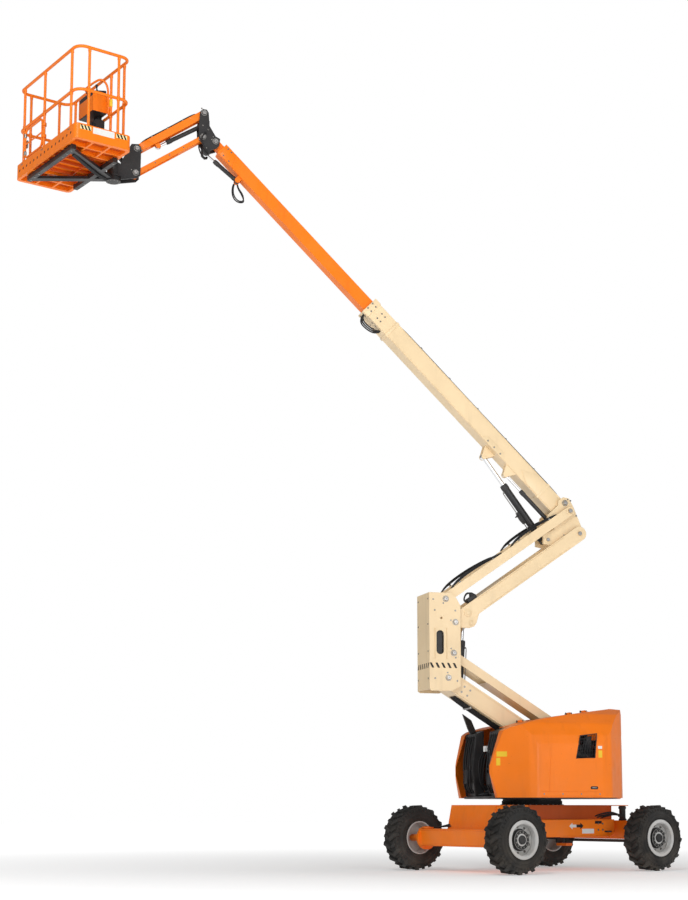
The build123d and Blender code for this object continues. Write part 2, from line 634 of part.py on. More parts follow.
with BuildPart() as lower_upright:
    cheek = [(UPRIGHT_REAR, UPRIGHT_LOW + 60), (UPRIGHT_REAR, UPRIGHT_TOP - 160),
             (UPRIGHT_REAR + 60, UPRIGHT_TOP - 60), (UPRIGHT_REAR + 130, UPRIGHT_TOP),
             (UPRIGHT_FRONT, UPRIGHT_TOP), (UPRIGHT_FRONT, UPRIGHT_LOW + 20),
             (UPRIGHT_FRONT - 30, UPRIGHT_LOW), (UPRIGHT_REAR + 130, UPRIGHT_LOW)]
    both_sides(slab, UPRIGHT_HALF - PLATE, UPRIGHT_HALF, cheek)
    block(
        (UPRIGHT_FRONT - PLATE, -UPRIGHT_HALF + PLATE, UPRIGHT_LOW + 20),
        (UPRIGHT_FRONT, UPRIGHT_HALF - PLATE, UPRIGHT_TOP),
    )
    for near, far in ((-UPRIGHT_HALF, -UPRIGHT_HALF + PLATE), (UPRIGHT_HALF - PLATE, UPRIGHT_HALF)):
        with BuildSketch(Plane.XZ.offset(-far)) as slot:
            with Locations(plus(UPRIGHT_HEAD_PIN, (210, -265))):
                SlotOverall(300, 90, rotation=90)
            with Locations(plus(UPRIGHT_HEAD_PIN, (190, 50))):
                Circle(16)
        extrude(to_extrude=slot.sketch, amount=far - near, mode=Mode.SUBTRACT)
    for pin in (LOW_D, LOW_C, UP_B, UP_A):  # short, so that the cylinder passes between them
        both_sides(disc, STUB_IN, UPRIGHT_HALF + 12, pin, PIN_R)
finish(lower_upright, "lower_upright")

with BuildPart() as upper_riser:
    both_sides(bar, BAR_OUT - PLATE, BAR_OUT, TOP_B, UP_B, UPPER_DEPTH)
    for end in (TOP_B, UP_B):
        both_sides(disc, BAR_OUT - PLATE, BAR_OUT, end, UPPER_DEPTH / 2)
    rise = UPPER_DEPTH / 2 - 6
    angle = -UPPER_ANGLE
    flange(TOP_B, angle, 720, UPPER_RISER_L - 480, -rise, 12, BAR_OUT - PLATE)
    flange(TOP_B, angle, 1200, UPPER_RISER_L - 430, rise, 12, BAR_OUT - PLATE)
    for end in (TOP_B, UP_B):
        both_sides(disc, BAR_OUT - PLATE, BAR_OUT, end, PIN_R + FIT, mode=Mode.SUBTRACT)
    both_sides(disc, 30 + EYE_GAP, BAR_OUT - PLATE, TOWER_EYE, TOWER_PIN_R)
finish(upper_riser, "upper_riser")

for side, name in ((1, "left"), (-1, "right")):
    inner, outer = (BAR_OUT - 25, BAR_OUT) if side > 0 else (-BAR_OUT, -BAR_OUT + 25)
    with BuildPart() as upper_riser_link:
        bar(TOP_A, UP_A, UPPER_LINK_DEPTH, inner, outer)
        for end in (TOP_A, UP_A):
            disc(end, UPPER_LINK_DEPTH / 2, inner, outer)
        for end in (TOP_A, UP_A):
            disc(end, PIN_R + FIT, inner, outer, mode=Mode.SUBTRACT)
    finish(upper_riser_link, f"upper_riser_link_{name}")

with BuildPart() as upper_upright:
    head = [plus(TOP_B, step) for step in (
        (-90, -40), (20, -95), (370, -170), (500, -150), (500, -40), (330, 60), (440, 120),
        (430, 240), (280, 380), (270, 450), (200, 495), (120, 480), (60, 370), (-70, 60),
    )]
    both_sides(slab, HEAD_IN, HEAD_OUT, head)
    disc(TOP_A, PIN_R, -BAR_OUT - 12, BAR_OUT + 12)
    disc(TOP_B, PIN_R, -BAR_OUT - 12, BAR_OUT + 12)
    disc(BOOM_M, PIN_R, -HEAD_OUT - 12, HEAD_OUT + 12)
    disc(LIFT_FOOT, TOWER_PIN_R, -HEAD_OUT, HEAD_OUT)
    disc(LEVEL_FOOT, SMALL_PIN_R, -HEAD_OUT, HEAD_OUT)
finish(upper_upright, "upper_upright")

# ======== boom ========
LIFT_Y = -40.0
LIFT_HALF = 30.0
LEVEL_Y = 62.0
LEVEL_HALF = 18.0
EYE_LUG_T = 18.0
LIFT_EYE = on_boom(1197.0, 228.0)
LEVEL_EYE = on_boom(832.0, 218.0)
BASE_REAR = 5.0
EYE_LUG_R = 40.0


def eye_lug(eye, angle):
    """The flared plate from an eye up into the boom's underside."""
    rise = below_line(eye, BOOM_M, BOOM_ANGLE) - BOOM_DROP - BASE_DEPTH / 2 + BASE_WALL - 2
    return [ahead(eye, angle, -EYE_LUG_R), ahead(eye, angle, EYE_LUG_R),
            ahead(eye, angle, EYE_LUG_R + 60, rise), ahead(eye, angle, -EYE_LUG_R - 60, rise)]


with BuildPart() as boom_base:
    bar(on_boom(BASE_REAR), on_boom(BASE_L), BASE_DEPTH, -BASE_HALF, BASE_HALF)
    inner_depth = BASE_DEPTH - 2 * BASE_WALL
    inner_half = BASE_HALF - BASE_WALL
    bar(on_boom(-50), on_boom(BASE_L + 50), inner_depth, -inner_half, inner_half, mode=Mode.SUBTRACT)
    disc(BOOM_M, 75, -BASE_HALF, BASE_HALF)
    for eye, y, half in ((LIFT_EYE, LIFT_Y, LIFT_HALF), (LEVEL_EYE, LEVEL_Y, LEVEL_HALF)):
        for near in (y - half - EYE_GAP - EYE_LUG_T, y + half + EYE_GAP):
            disc(eye, EYE_LUG_R, near, near + EYE_LUG_T)
            slab(eye_lug(eye, BOOM_ANGLE), near, near + EYE_LUG_T)
    disc(BOOM_M, PIN_R + FIT, -BASE_HALF, BASE_HALF, mode=Mode.SUBTRACT)
    # wear pads inside the mouth, which carry the fly
    for sign in (-1, 1):
        pad = (BASE_DEPTH / 2 - BASE_WALL - FLY_DEPTH / 2) - SEAT
        at = sign * (FLY_DEPTH / 2 + SEAT + pad / 2)
        bar(on_boom(BASE_L - 160, at), on_boom(BASE_L - 5, at), pad, -60, 60)
        inner, outer = FLY_HALF + SEAT, BASE_HALF - BASE_WALL
        near, far = (inner, outer) if sign > 0 else (-outer, -inner)
        bar(on_boom(BASE_L - 160), on_boom(BASE_L - 5), 90, near, far)
finish(boom_base, "boom_base")

FLY_END = FLY_REACH - 120.0
HEAD_HALF = 40.0
with BuildPart() as boom_fly:
    bar(on_boom(FLY_INSIDE), on_boom(FLY_END), FLY_DEPTH, -FLY_HALF, FLY_HALF)
    inner_depth = FLY_DEPTH - 2 * FLY_WALL
    inner_half = FLY_HALF - FLY_WALL
    bar(on_boom(FLY_INSIDE - 50), on_boom(FLY_END - 12), inner_depth, -inner_half, inner_half,
        mode=Mode.SUBTRACT)
    bar(on_boom(FLY_END - 12), FLY_TIP, 110, -HEAD_HALF, HEAD_HALF)
    disc(FLY_TIP, 55, -HEAD_HALF - 18, HEAD_HALF + 18)
    for near in (-30 - EYE_LUG_T, 30):
        disc(SLAVE_FOOT, 34, near, near + EYE_LUG_T)
        bar(SLAVE_FOOT, ahead(SLAVE_FOOT, BOOM_ANGLE + 90, 50), 68, near, near + EYE_LUG_T)
    disc(SLAVE_FOOT, SMALL_PIN_R, -48, 48)
    disc(FLY_TIP, PIN_R + FIT, -HEAD_HALF - 18, HEAD_HALF + 18, mode=Mode.SUBTRACT)
finish(boom_fly, "boom_fly")

# ======== jib ========
with BuildPart() as jib_inner_bracket:
    cheek = [plus(FLY_TIP, step) for step in (
        (-60, 40), (-50, -45), (-20, -90), (62, -122), (80, -190), (120, -200), (165, -160),
        (165, -60), (215, 10),
        (225, 200), (205, 390), (170, 425), (120, 420), (95, 380), (80, 200), (0, 70),
    )]
    both_sides(slab, CHEEK_IN, CHEEK_OUT, cheek)
    disc(FLY_TIP, PIN_R, -CHEEK_OUT - 10, CHEEK_OUT + 10)
    for pin in (JIB_J1, JIB_J2):  # short, so that the cylinder passes between them
        both_sides(disc, JIB_BAR_IN - 1, CHEEK_OUT + 10, pin, PIN_R)
    both_sides(disc, 17 + EYE_GAP, CHEEK_OUT + 6, SLAVE_EYE, SMALL_PIN_R)
    # the cylinder's foot stands on two inner lugs from a web behind the pins
    web = [plus(JIB_J1, (-76, -95)), plus(JIB_J1, (-62, -95)), plus(JIB_J1, (-62, -215)),
           plus(JIB_J1, (-76, -215))]
    slab(web, -CHEEK_IN, CHEEK_IN)
    root = plus(JIB_J1, (-70.0, -155.0))
    both_sides(bar, JIB_LUG_IN, JIB_LUG_OUT, root, JIB_CYL_FOOT, 56)
    both_sides(disc, JIB_LUG_IN, JIB_LUG_OUT, JIB_CYL_FOOT, 28)
    disc(JIB_CYL_FOOT, SMALL_PIN_R, -JIB_LUG_OUT - 3, JIB_LUG_OUT + 3)
finish(jib_inner_bracket, "jib_inner_bracket")

with BuildPart() as jib_beam:
    # a channel, open below between its ends, into which the cylinder folds
    both_sides(bar, JIB_HALF - JIB_WALL, JIB_HALF, JIB_J1, JIB_O1, JIB_DEPTH)
    for end in (JIB_J1, JIB_O1):
        both_sides(disc, JIB_HALF - JIB_WALL, JIB_HALF, end, JIB_DEPTH / 2)
    inner = JIB_HALF - JIB_WALL
    rise = (JIB_DEPTH - JIB_WALL) / 2
    flange(JIB_J1, JIB_ANGLE, 70, JIB_L - 70, rise, JIB_WALL, inner)
    flange(JIB_J1, JIB_ANGLE, 850, JIB_L - 70, -rise, JIB_WALL, inner)
    top = ahead(JIB_CYL_EYE, JIB_ANGLE + 90, 85 + rise)
    both_sides(bar, JIB_LUG_IN, JIB_LUG_OUT, JIB_CYL_EYE, top, 60)
    both_sides(disc, JIB_LUG_IN, JIB_LUG_OUT, JIB_CYL_EYE, 30)
    for end in (JIB_J1, JIB_O1):
        both_sides(disc, JIB_HALF - JIB_WALL, JIB_HALF, end, PIN_R + FIT, mode=Mode.SUBTRACT)
finish(jib_beam, "jib_beam")

with BuildPart() as jib_link:
    both_sides(bar, JIB_BAR_IN, JIB_HALF, JIB_J2, JIB_O2, JIB_BAR_DEPTH)
    for end in (JIB_J2, JIB_O2):
        both_sides(disc, JIB_BAR_IN, JIB_HALF, end, 40)
    flange(JIB_J2, JIB_ANGLE, 60, 400, 4 - JIB_BAR_DEPTH / 2, 8, JIB_BAR_IN)
    for end in (JIB_J2, JIB_O2):
        both_sides(disc, JIB_BAR_IN, JIB_HALF, end, PIN_R + FIT, mode=Mode.SUBTRACT)
finish(jib_link, "jib_link")

with BuildPart() as jib_outer_bracket:
    cheek = [plus(JIB_O2, step) for step in (
        (-60, 30), (-60, -30), (-20, -70), (190, -110), (190, 130), (60, 380), (-30, 385),
        (-65, 340),
    )]
    both_sides(slab, CHEEK_IN, CHEEK_OUT, cheek)
    for pin in (JIB_O1, JIB_O2):
        both_sides(disc, JIB_BAR_IN - 1, CHEEK_OUT + 10, pin, PIN_R)
    block((JIB_O2[0] + 150, -CHEEK_OUT, PLAT_Z - 20), (ROTATOR_X - 40, CHEEK_OUT, PLAT_Z + 150))
    with Locations((ROTATOR_X, 0, PLAT_Z + 70)):
        Cylinder(ROTATOR_R, 190)
    with Locations((ROTATOR_X, 0, PLAT_Z - 25)):
        Cylinder(30 + FIT, 100, mode=Mode.SUBTRACT)
finish(jib_outer_bracket, "jib_outer_bracket")

# ======== hydraulic cylinders ========
ROD_CLEAR = 1.0
CYLINDERS = (  # name, across, foot, eye, closed length, barrel r, rod r, pin r at foot and eye
    ("tower_cylinder", 0.0, TOWER_FOOT, TOWER_EYE, 700.0, 48.0, 26.0, TOWER_PIN_R),
    ("lift_cylinder", LIFT_Y, LIFT_FOOT, LIFT_EYE, 975.0, 48.0, 26.0, TOWER_PIN_R),
    ("level_cylinder", LEVEL_Y, LEVEL_FOOT, LEVEL_EYE, 620.0, 27.0, 14.0, SMALL_PIN_R),
    ("slave_cylinder", 0.0, SLAVE_FOOT, SLAVE_EYE, 430.0, 27.0, 14.0, SMALL_PIN_R),
    ("jib_cylinder", 0.0, JIB_CYL_FOOT, JIB_CYL_EYE, 590.0, 28.0, 16.0, SMALL_PIN_R),
)
for name, across, foot, eye, closed, barrel_r, rod_r, pin_r in CYLINDERS:
    angle = degrees(atan2(eye[1] - foot[1], eye[0] - foot[0]))
    length = hypot(eye[0] - foot[0], eye[1] - foot[1])
    boss = pin_r + 14
    half = min(barrel_r, 30.0) if pin_r > 20 else 17.0
    barrel_end = closed - boss - 8
    along = Plane(
        origin=(foot[0], across, foot[1]),
        x_dir=(0, 1, 0),
        z_dir=(cos(radians(angle)), 0, sin(radians(angle))),
    )
    with BuildPart() as barrel:
        disc(foot, boss, across - half, across + half)
        with BuildSketch(along.offset(boss - 4)):
            Circle(barrel_r)
        extrude(amount=barrel_end - boss + 4)
        with BuildSketch(along.offset(boss + 14)):
            Circle(rod_r + ROD_CLEAR)
        extrude(amount=closed, mode=Mode.SUBTRACT)
        disc(foot, pin_r + FIT, across - half, across + half, mode=Mode.SUBTRACT)
    finish(barrel, f"{name}_barrel")
    with BuildPart() as ram:
        rod_l = closed - boss - 24
        with BuildSketch(along.offset(length - rod_l)):
            Circle(rod_r)
        extrude(amount=rod_l)
        disc(eye, boss, across - half, across + half)
    finish(ram, f"{name}_rod")

# ======== platform ========
FAR_X = PLAT_NEAR_X + PLAT_W
HALF_L = PLAT_L / 2
SUPPORT_LOW = PLAT_Z - 62.0
SUPPORT_ARM_T = 36.0
CROSS_W = 60.0
FAR_CROSS = FAR_X - 2 * CROSS_W
FAR_CROSS_HALF = HALF_L - 220.0
NEAR_CROSS = PLAT_NEAR_X + 30.0
NEAR_CROSS_HALF = HALF_L - 300.0
with BuildPart() as platform_support:
    with BuildSketch(Plane.XY.offset(PLAT_Z - 75)):
        Circle(95)
    extrude(amount=49)
    with Locations((0, 0, PLAT_Z - 5)):
        Cylinder(PIN_R, 60)
    tip = FAR_CROSS_HALF - 40
    for sign in (-1, 1):
        with BuildSketch(Plane.XY.offset(SUPPORT_LOW)) as arm:
            with BuildLine():
                Polyline((60, 0), (60, sign * 70), (FAR_CROSS, sign * tip), (FAR_CROSS + CROSS_W, sign * tip),
                         (FAR_CROSS + CROSS_W, sign * (tip - 70)), (120, 0), close=True)
            make_face()
        extrude(to_extrude=arm.sketch, amount=SUPPORT_ARM_T)
    for x, half in ((FAR_CROSS, FAR_CROSS_HALF), (NEAR_CROSS, NEAR_CROSS_HALF)):
        block((x, -half, SUPPORT_LOW), (x + CROSS_W, half, PLAT_Z - SEAT))
finish(platform_support, "platform_support", turns=True)

TOE_T = 25.0
DECK_T = 12.0
DECK_IN = 20.0
TRAY_L = 440.0
TRAY_PITCH = ((PLAT_W - 60.0) / 3, 205.0)
TRAY_HOLE = (TRAY_PITCH[0] - 26.0, 180.0)
with BuildPart() as platform_floor:
    middle_x = PLAT_NEAR_X + PLAT_W / 2
    with BuildSketch(Plane.XY.offset(PLAT_Z)):
        with Locations((middle_x, 0)):
            RectangleRounded(PLAT_W, PLAT_L, 60)
            RectangleRounded(PLAT_W - 2 * TOE_T, PLAT_L - 2 * TOE_T, 40, mode=Mode.SUBTRACT)
    extrude(amount=TOE_H)
    with BuildSketch(Plane.XY.offset(FLOOR_Z - DECK_T)):
        with Locations((middle_x, 0)):
            RectangleRounded(PLAT_W - 2 * DECK_IN, PLAT_L - 2 * DECK_IN, 40)
    extrude(amount=DECK_T)
    for sign in (-1, 1):
        tray_y = sign * (HALF_L - TOE_T - TRAY_L / 2)
        with BuildSketch(Plane.XY.offset(PLAT_Z)) as tray:
            with Locations((middle_x, tray_y)):
                Rectangle(PLAT_W - 2 * DECK_IN, TRAY_L)
                with GridLocations(*TRAY_PITCH, 3, 2):
                    RectangleRounded(*TRAY_HOLE, 20, mode=Mode.SUBTRACT)
        extrude(to_extrude=tray.sketch, amount=FLOOR_Z - DECK_T - PLAT_Z)
finish(platform_floor, "platform_floor", turns=True)


def rail_loop(z):
    """A tube round the platform at height z, with rounded corners."""
    inset = RAIL_R + 4
    corners = [
        (PLAT_NEAR_X + inset, -HALF_L + inset, z),
        (FAR_X - inset, -HALF_L + inset, z),
        (FAR_X - inset, HALF_L - inset, z),
        (PLAT_NEAR_X + inset, HALF_L - inset, z),
    ]
    with BuildLine() as path:
        FilletPolyline(*corners, radius=RAIL_CORNER, close=True)
    start = path.wires()[0] @ 0
    with BuildSketch(Plane(origin=start, z_dir=path.wires()[0] % 0)) as tube:
        Circle(RAIL_R)
    sweep(sections=tube.sketch, path=path.wires()[0])


GATE_Y = -80.0
POSTS = (  # x, y of each post
    (PLAT_NEAR_X + 23, -HALF_L + 180), (PLAT_NEAR_X + 23, -200), (PLAT_NEAR_X + 23, 330),
    (PLAT_NEAR_X + 23, HALF_L - 180), (PLAT_NEAR_X + 180, HALF_L - 23), (FAR_X - 180, HALF_L - 23),
    (FAR_X - 23, HALF_L - 180), (FAR_X - 23, GATE_Y), (FAR_X - 23, -HALF_L + 180),
    (FAR_X - 180, -HALF_L + 23), (PLAT_NEAR_X + 180, -HALF_L + 23),
)
with BuildPart() as platform_rails:
    rail_loop(RAIL_TOP)
    rail_loop(RAIL_MID)
    foot_z = PLAT_Z + TOE_H
    for x, y in POSTS:
        with BuildSketch(Plane(origin=(x, y, foot_z))) as post:
            Circle(RAIL_R - 2)
        extrude(to_extrude=post.sketch, amount=RAIL_TOP - foot_z)
finish(platform_rails, "platform_rails", turns=True)

with BuildPart() as gate:
    x = FAR_X - 23
    low, high = PLAT_Z + TOE_H + 40, RAIL_MID - RAIL_R - 25
    near_y, far_y = GATE_Y - 55, -HALF_L + 180 + 40
    with BuildLine() as path:
        FilletPolyline(
            (x, near_y, low), (x, far_y, low), (x, far_y, high), (x, near_y, high),
            radius=70, close=True,
        )
    with BuildSketch(Plane(origin=path.wires()[0] @ 0, z_dir=path.wires()[0] % 0)):
        Circle(14)
    sweep(path=path.wires()[0])
    for z in (low + 110, high - 110):
        with Locations((x, GATE_Y, z)):
            Cylinder(RAIL_R + 10, 40)
            Cylinder(RAIL_R - 2 + FIT, 60, mode=Mode.SUBTRACT)
        with Locations(Location((x, (near_y + GATE_Y) / 2 - 12, z), (90, 0, 0))):
            Cylinder(9, 34)
finish(gate, "gate", turns=True)

with BuildPart() as control_console:
    x = PLAT_NEAR_X + 23 + RAIL_R
    block((x, -120, RAIL_MID + 40), (x + 198, 260, RAIL_MID + 300))
    block((x, -60, PLAT_Z + TOE_H + 10), (x + 120, 200, RAIL_MID - 30))
    block((x, 20, RAIL_MID - 30), (x + 60, 120, RAIL_MID + 40))
finish(control_console, "control_console", turns=True)
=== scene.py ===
import math

import bmesh
import bpy
from mathutils import Matrix, Vector


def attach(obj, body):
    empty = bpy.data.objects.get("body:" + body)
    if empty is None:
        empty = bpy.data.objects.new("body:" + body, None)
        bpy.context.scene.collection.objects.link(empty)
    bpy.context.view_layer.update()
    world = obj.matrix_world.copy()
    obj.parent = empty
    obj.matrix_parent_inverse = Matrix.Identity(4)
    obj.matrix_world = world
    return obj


# Looks of the articulating boom lift. Metres, in the CAD's frame. What slews is written in the boom's own
# plane (x along the boom, y across it) and turned by SWING; the platform's frame is parallel to the row's.
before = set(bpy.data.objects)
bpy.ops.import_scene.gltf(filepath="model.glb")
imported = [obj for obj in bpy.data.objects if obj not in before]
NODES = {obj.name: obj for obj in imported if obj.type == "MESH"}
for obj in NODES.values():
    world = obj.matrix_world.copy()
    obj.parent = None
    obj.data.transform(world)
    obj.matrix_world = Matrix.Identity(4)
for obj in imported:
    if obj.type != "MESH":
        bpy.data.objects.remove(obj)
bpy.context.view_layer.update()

SWING = math.radians(-20.0)
TURN = Matrix.Rotation(SWING, 4, "Z")
HERE = Matrix.Identity(4)
ROTATOR_X = 5.60526
PLATFORM = Matrix.Translation(TURN @ Vector((ROTATOR_X, 0, 0)))
UP = (0, 0, 1)

# --- materials


def node(tree, kind, inputs=None, links=None, **settings):
    """A new node, with its inputs' values, the sockets linked into it and its settings."""
    made = tree.nodes.new("ShaderNode" + kind)
    for key, value in settings.items():
        setattr(made, key, value)
    for key, value in (inputs or {}).items():
        made.inputs[key].default_value = value
    for key, socket in (links or {}).items():
        tree.links.new(socket, made.inputs[key])
    return made


def grain(tree, scale, detail=3.0, stretch=(1, 1, 1)):
    """Noise in object space, which is the row frame."""
    place = node(tree, "TexCoord").outputs["Object"]
    scaled = node(tree, "Mapping", {"Scale": stretch}, {"Vector": place}).outputs["Vector"]
    return node(tree, "TexNoise", {"Scale": scale, "Detail": detail}, {"Vector": scaled}).outputs["Fac"]


def ramp(tree, value, *stops):
    made = node(tree, "ValToRGB", links={"Fac": value})
    for element, (place, level) in zip(made.color_ramp.elements, stops):
        element.position = place
        element.color = (level, level, level, 1)
    return made.outputs["Color"]


def remap(tree, value, low, high, to_low, to_high):
    ends = {"From Min": low, "From Max": high, "To Min": to_low, "To Max": to_high}
    return node(tree, "MapRange", ends, {"Value": value}).outputs["Result"]


def mixed(tree, share, a, b):
    """Colour a where share is 0 and b where it is 1; b is a colour, and a may be a socket too."""
    made = node(tree, "Mix", links={0: share}, data_type="RGBA")
    if isinstance(a, bpy.types.NodeSocket):
        tree.links.new(a, made.inputs[6])
    else:
        made.inputs[6].default_value = (*a, 1)
    made.inputs[7].default_value = (*b, 1)
    return made.outputs[2]


def surface(name, base, roughness, metallic=0.0, coat=0.0, specks=None, dust=None, bump=0.0,
            bump_scale=60.0, variation=0.07, rough_spread=0.1, edge=0.0):
    """A painted, cast or rubber surface: colour drift, streaks, specks, dust and fine bump."""
    material = bpy.data.materials.new(name)
    material.use_nodes = True
    tree = material.node_tree
    shader = tree.nodes["Principled BSDF"]
    shader.inputs["Metallic"].default_value = metallic
    shader.inputs["Specular IOR Level"].default_value = 0.5 if metallic else 0.3
    if coat:
        shader.inputs["Coat Weight"].default_value = coat
        shader.inputs["Coat Roughness"].default_value = 0.12
    dark = tuple(c * (1 - 2 * variation) for c in base)
    light = tuple(min(1.0, c * (1 + variation) + 0.03 * variation) for c in base)
    drift = ramp(tree, grain(tree, 1.7, 4.0), (0.35, 0.0), (0.65, 1.0))
    colour = mixed(tree, drift, dark, light)
    streaks = ramp(tree, grain(tree, 9.0, 5.0, (1, 1, 0.12)), (0.56, 0.0), (0.8, 0.35))
    colour = mixed(tree, streaks, colour, tuple(c * 0.62 for c in base))
    if specks:
        amount, speck = specks
        chips = ramp(tree, grain(tree, 46.0, 6.0), (0.72 - amount, 0.0), (0.74 - amount, 1.0))
        colour = mixed(tree, chips, colour, speck)
    if dust:
        tone, most, top = dust
        place = node(tree, "TexCoord").outputs["Object"]
        above = node(tree, "SeparateXYZ", links={0: place}).outputs["Z"]
        settled = remap(tree, above, 0.0, top, most, 0.02)
        cloud = ramp(tree, grain(tree, 6.0, 6.0), (0.38, 0.15), (0.66, 1.0))
        share = node(tree, "Math", links={0: settled, 1: cloud}, operation="MULTIPLY").outputs[0]
        colour = mixed(tree, share, colour, tone)
    tree.links.new(colour, shader.inputs["Base Color"])
    rough = remap(tree, grain(tree, 5.0, 5.0), 0.3, 0.7, max(0.05, roughness - rough_spread),
                  min(1.0, roughness + rough_spread))
    tree.links.new(rough, shader.inputs["Roughness"])
    if bump or edge:
        bumped = node(tree, "Bump", {"Strength": bump, "Distance": 0.004},
                      {"Height": grain(tree, bump_scale, 4.0)})
        if edge:
            rounded = node(tree, "Bevel", {"Radius": edge}, samples=4)
            tree.links.new(rounded.outputs["Normal"], bumped.inputs["Normal"])
        tree.links.new(bumped.outputs["Normal"], shader.inputs["Normal"])
    return material


DUST = (0.42, 0.33, 0.24)
ORANGE = surface("orange_paint", (0.95, 0.205, 0.002), 0.42, coat=0.1, bump=0.12, bump_scale=70,
                 specks=(0.0, (0.45, 0.08, 0.005)), dust=(DUST, 0.1, 1.2), variation=0.03, edge=0.006)
# orange darkened as painted shade, for the frame's recessed upper sides and the platform's underside
PAINTED_SHADE_ORANGE = surface("shaded_orange_paint", (0.6, 0.095, 0.01), 0.45, bump=0.12, bump_scale=70, variation=0.06,
              edge=0.004)
CREAM = surface("cream_paint", (0.87, 0.67, 0.41), 0.42, coat=0.2, bump=0.1, bump_scale=60, variation=0.03,
                specks=(-0.02, (0.45, 0.33, 0.2)), edge=0.006)
BLACK = surface("black_paint", (0.018, 0.018, 0.02), 0.45, coat=0.15, bump=0.15, bump_scale=80,
                dust=(DUST, 0.1, 1.4), variation=0.2, edge=0.004)
CAST = surface("dark_casting", (0.035, 0.034, 0.034), 0.62, metallic=0.25, bump=0.5, bump_scale=120,
               specks=(0.04, (0.12, 0.11, 0.1)), variation=0.2, edge=0.003)
STEEL = surface("machined_steel", (0.42, 0.41, 0.4), 0.34, metallic=0.9, bump=0.2, bump_scale=150,
                variation=0.1)
CHROME = surface("chrome_rod", (0.78, 0.79, 0.8), 0.1, metallic=1.0, variation=0.02, rough_spread=0.04)
RIM = surface("rim_paint", (0.56, 0.56, 0.55), 0.36, coat=0.2, bump=0.12, specks=(0.02, (0.33, 0.28, 0.24)),
              dust=(DUST, 0.35, 0.9), variation=0.05, edge=0.004)
RUBBER = surface("tyre_rubber", (0.02, 0.02, 0.02), 0.78, bump=0.6, bump_scale=90,
                 dust=((0.16, 0.13, 0.1), 0.35, 0.95), variation=0.25, rough_spread=0.12, edge=0.006)
HOSE = surface("hose_rubber", (0.012, 0.012, 0.013), 0.5, bump=0.3, bump_scale=220, variation=0.2)
PLASTIC = surface("black_plastic", (0.02, 0.02, 0.022), 0.55, bump=0.4, bump_scale=260, variation=0.15)
YELLOW = surface("yellow_plate", (0.86, 0.56, 0.03), 0.45, bump=0.1, variation=0.05)
WHITE = surface("white_plate", (0.78, 0.78, 0.76), 0.4, bump=0.1, variation=0.04)
STRIPE = surface("stripe_ground", (0.85, 0.7, 0.36), 0.45, bump=0.1, variation=0.04)
DARK = surface("hazard_black_and_hole_shade", (0.014, 0.014, 0.015), 0.5, variation=0.15)
ZINC = surface("zinc_fastener", (0.3, 0.29, 0.27), 0.36, metallic=0.85, variation=0.12)
STOP_RED = surface("stop_red", (0.55, 0.01, 0.01), 0.35)

CORNERS = ("front_left", "front_right", "rear_left", "rear_right")
CYLINDERS = ("tower", "lift", "level", "slave", "jib")
for material, names in ((ORANGE, ("chassis_frame", "front_axle", "rear_axle", "counterweight", "hood_left",
        "hood_right", "boom_fly", "jib_beam", "jib_link", "platform_floor", "platform_rails", "gate")),
        (CREAM, ("lower_riser", "lower_riser_link", "lower_upright", "upper_riser", "upper_riser_link_left",
        "upper_riser_link_right", "upper_upright", "boom_base")), (BLACK,
        ("turntable_frame", "front_panels", "platform_support", "jib_inner_bracket", "jib_outer_bracket",
        "oscillation_cylinders", "control_console", *(f"{name}_cylinder_barrel" for name in CYLINDERS))),
        (CAST, ("slewing_ring", "knuckle_left", "knuckle_right", "tie_rod", "engine", "hydraulic_tank")),
        (CHROME, [f"{name}_cylinder_rod" for name in CYLINDERS]), (RUBBER,
        [f"tyre_{corner}" for corner in CORNERS]), (RIM, [f"wheel_{corner}" for corner in CORNERS]),):
    for name in names:
        NODES[name].data.materials.clear()
        NODES[name].data.materials.append(material)

# --- mesh helpers


def circle(count, start=0.0):
    """(cosine, sine) round a circle."""
    for n in range(count):
        angle = start + 2 * math.pi * n / count
        yield math.cos(angle), math.sin(angle)


def flanks(inner, outer):
    """(side, low y, high y) of the same plate on the left and on the right."""
    for side in (1, -1):
        yield side, *sorted((side * inner, side * outer))


def disc(radius, height):
    return [(radius, 0), (radius, height), (0, height)]


def sleeve(inner, outer, low, high, chamfer=0.004):
    return [(inner, low), (outer, low + chamfer), (outer, high - chamfer), (inner, high)]


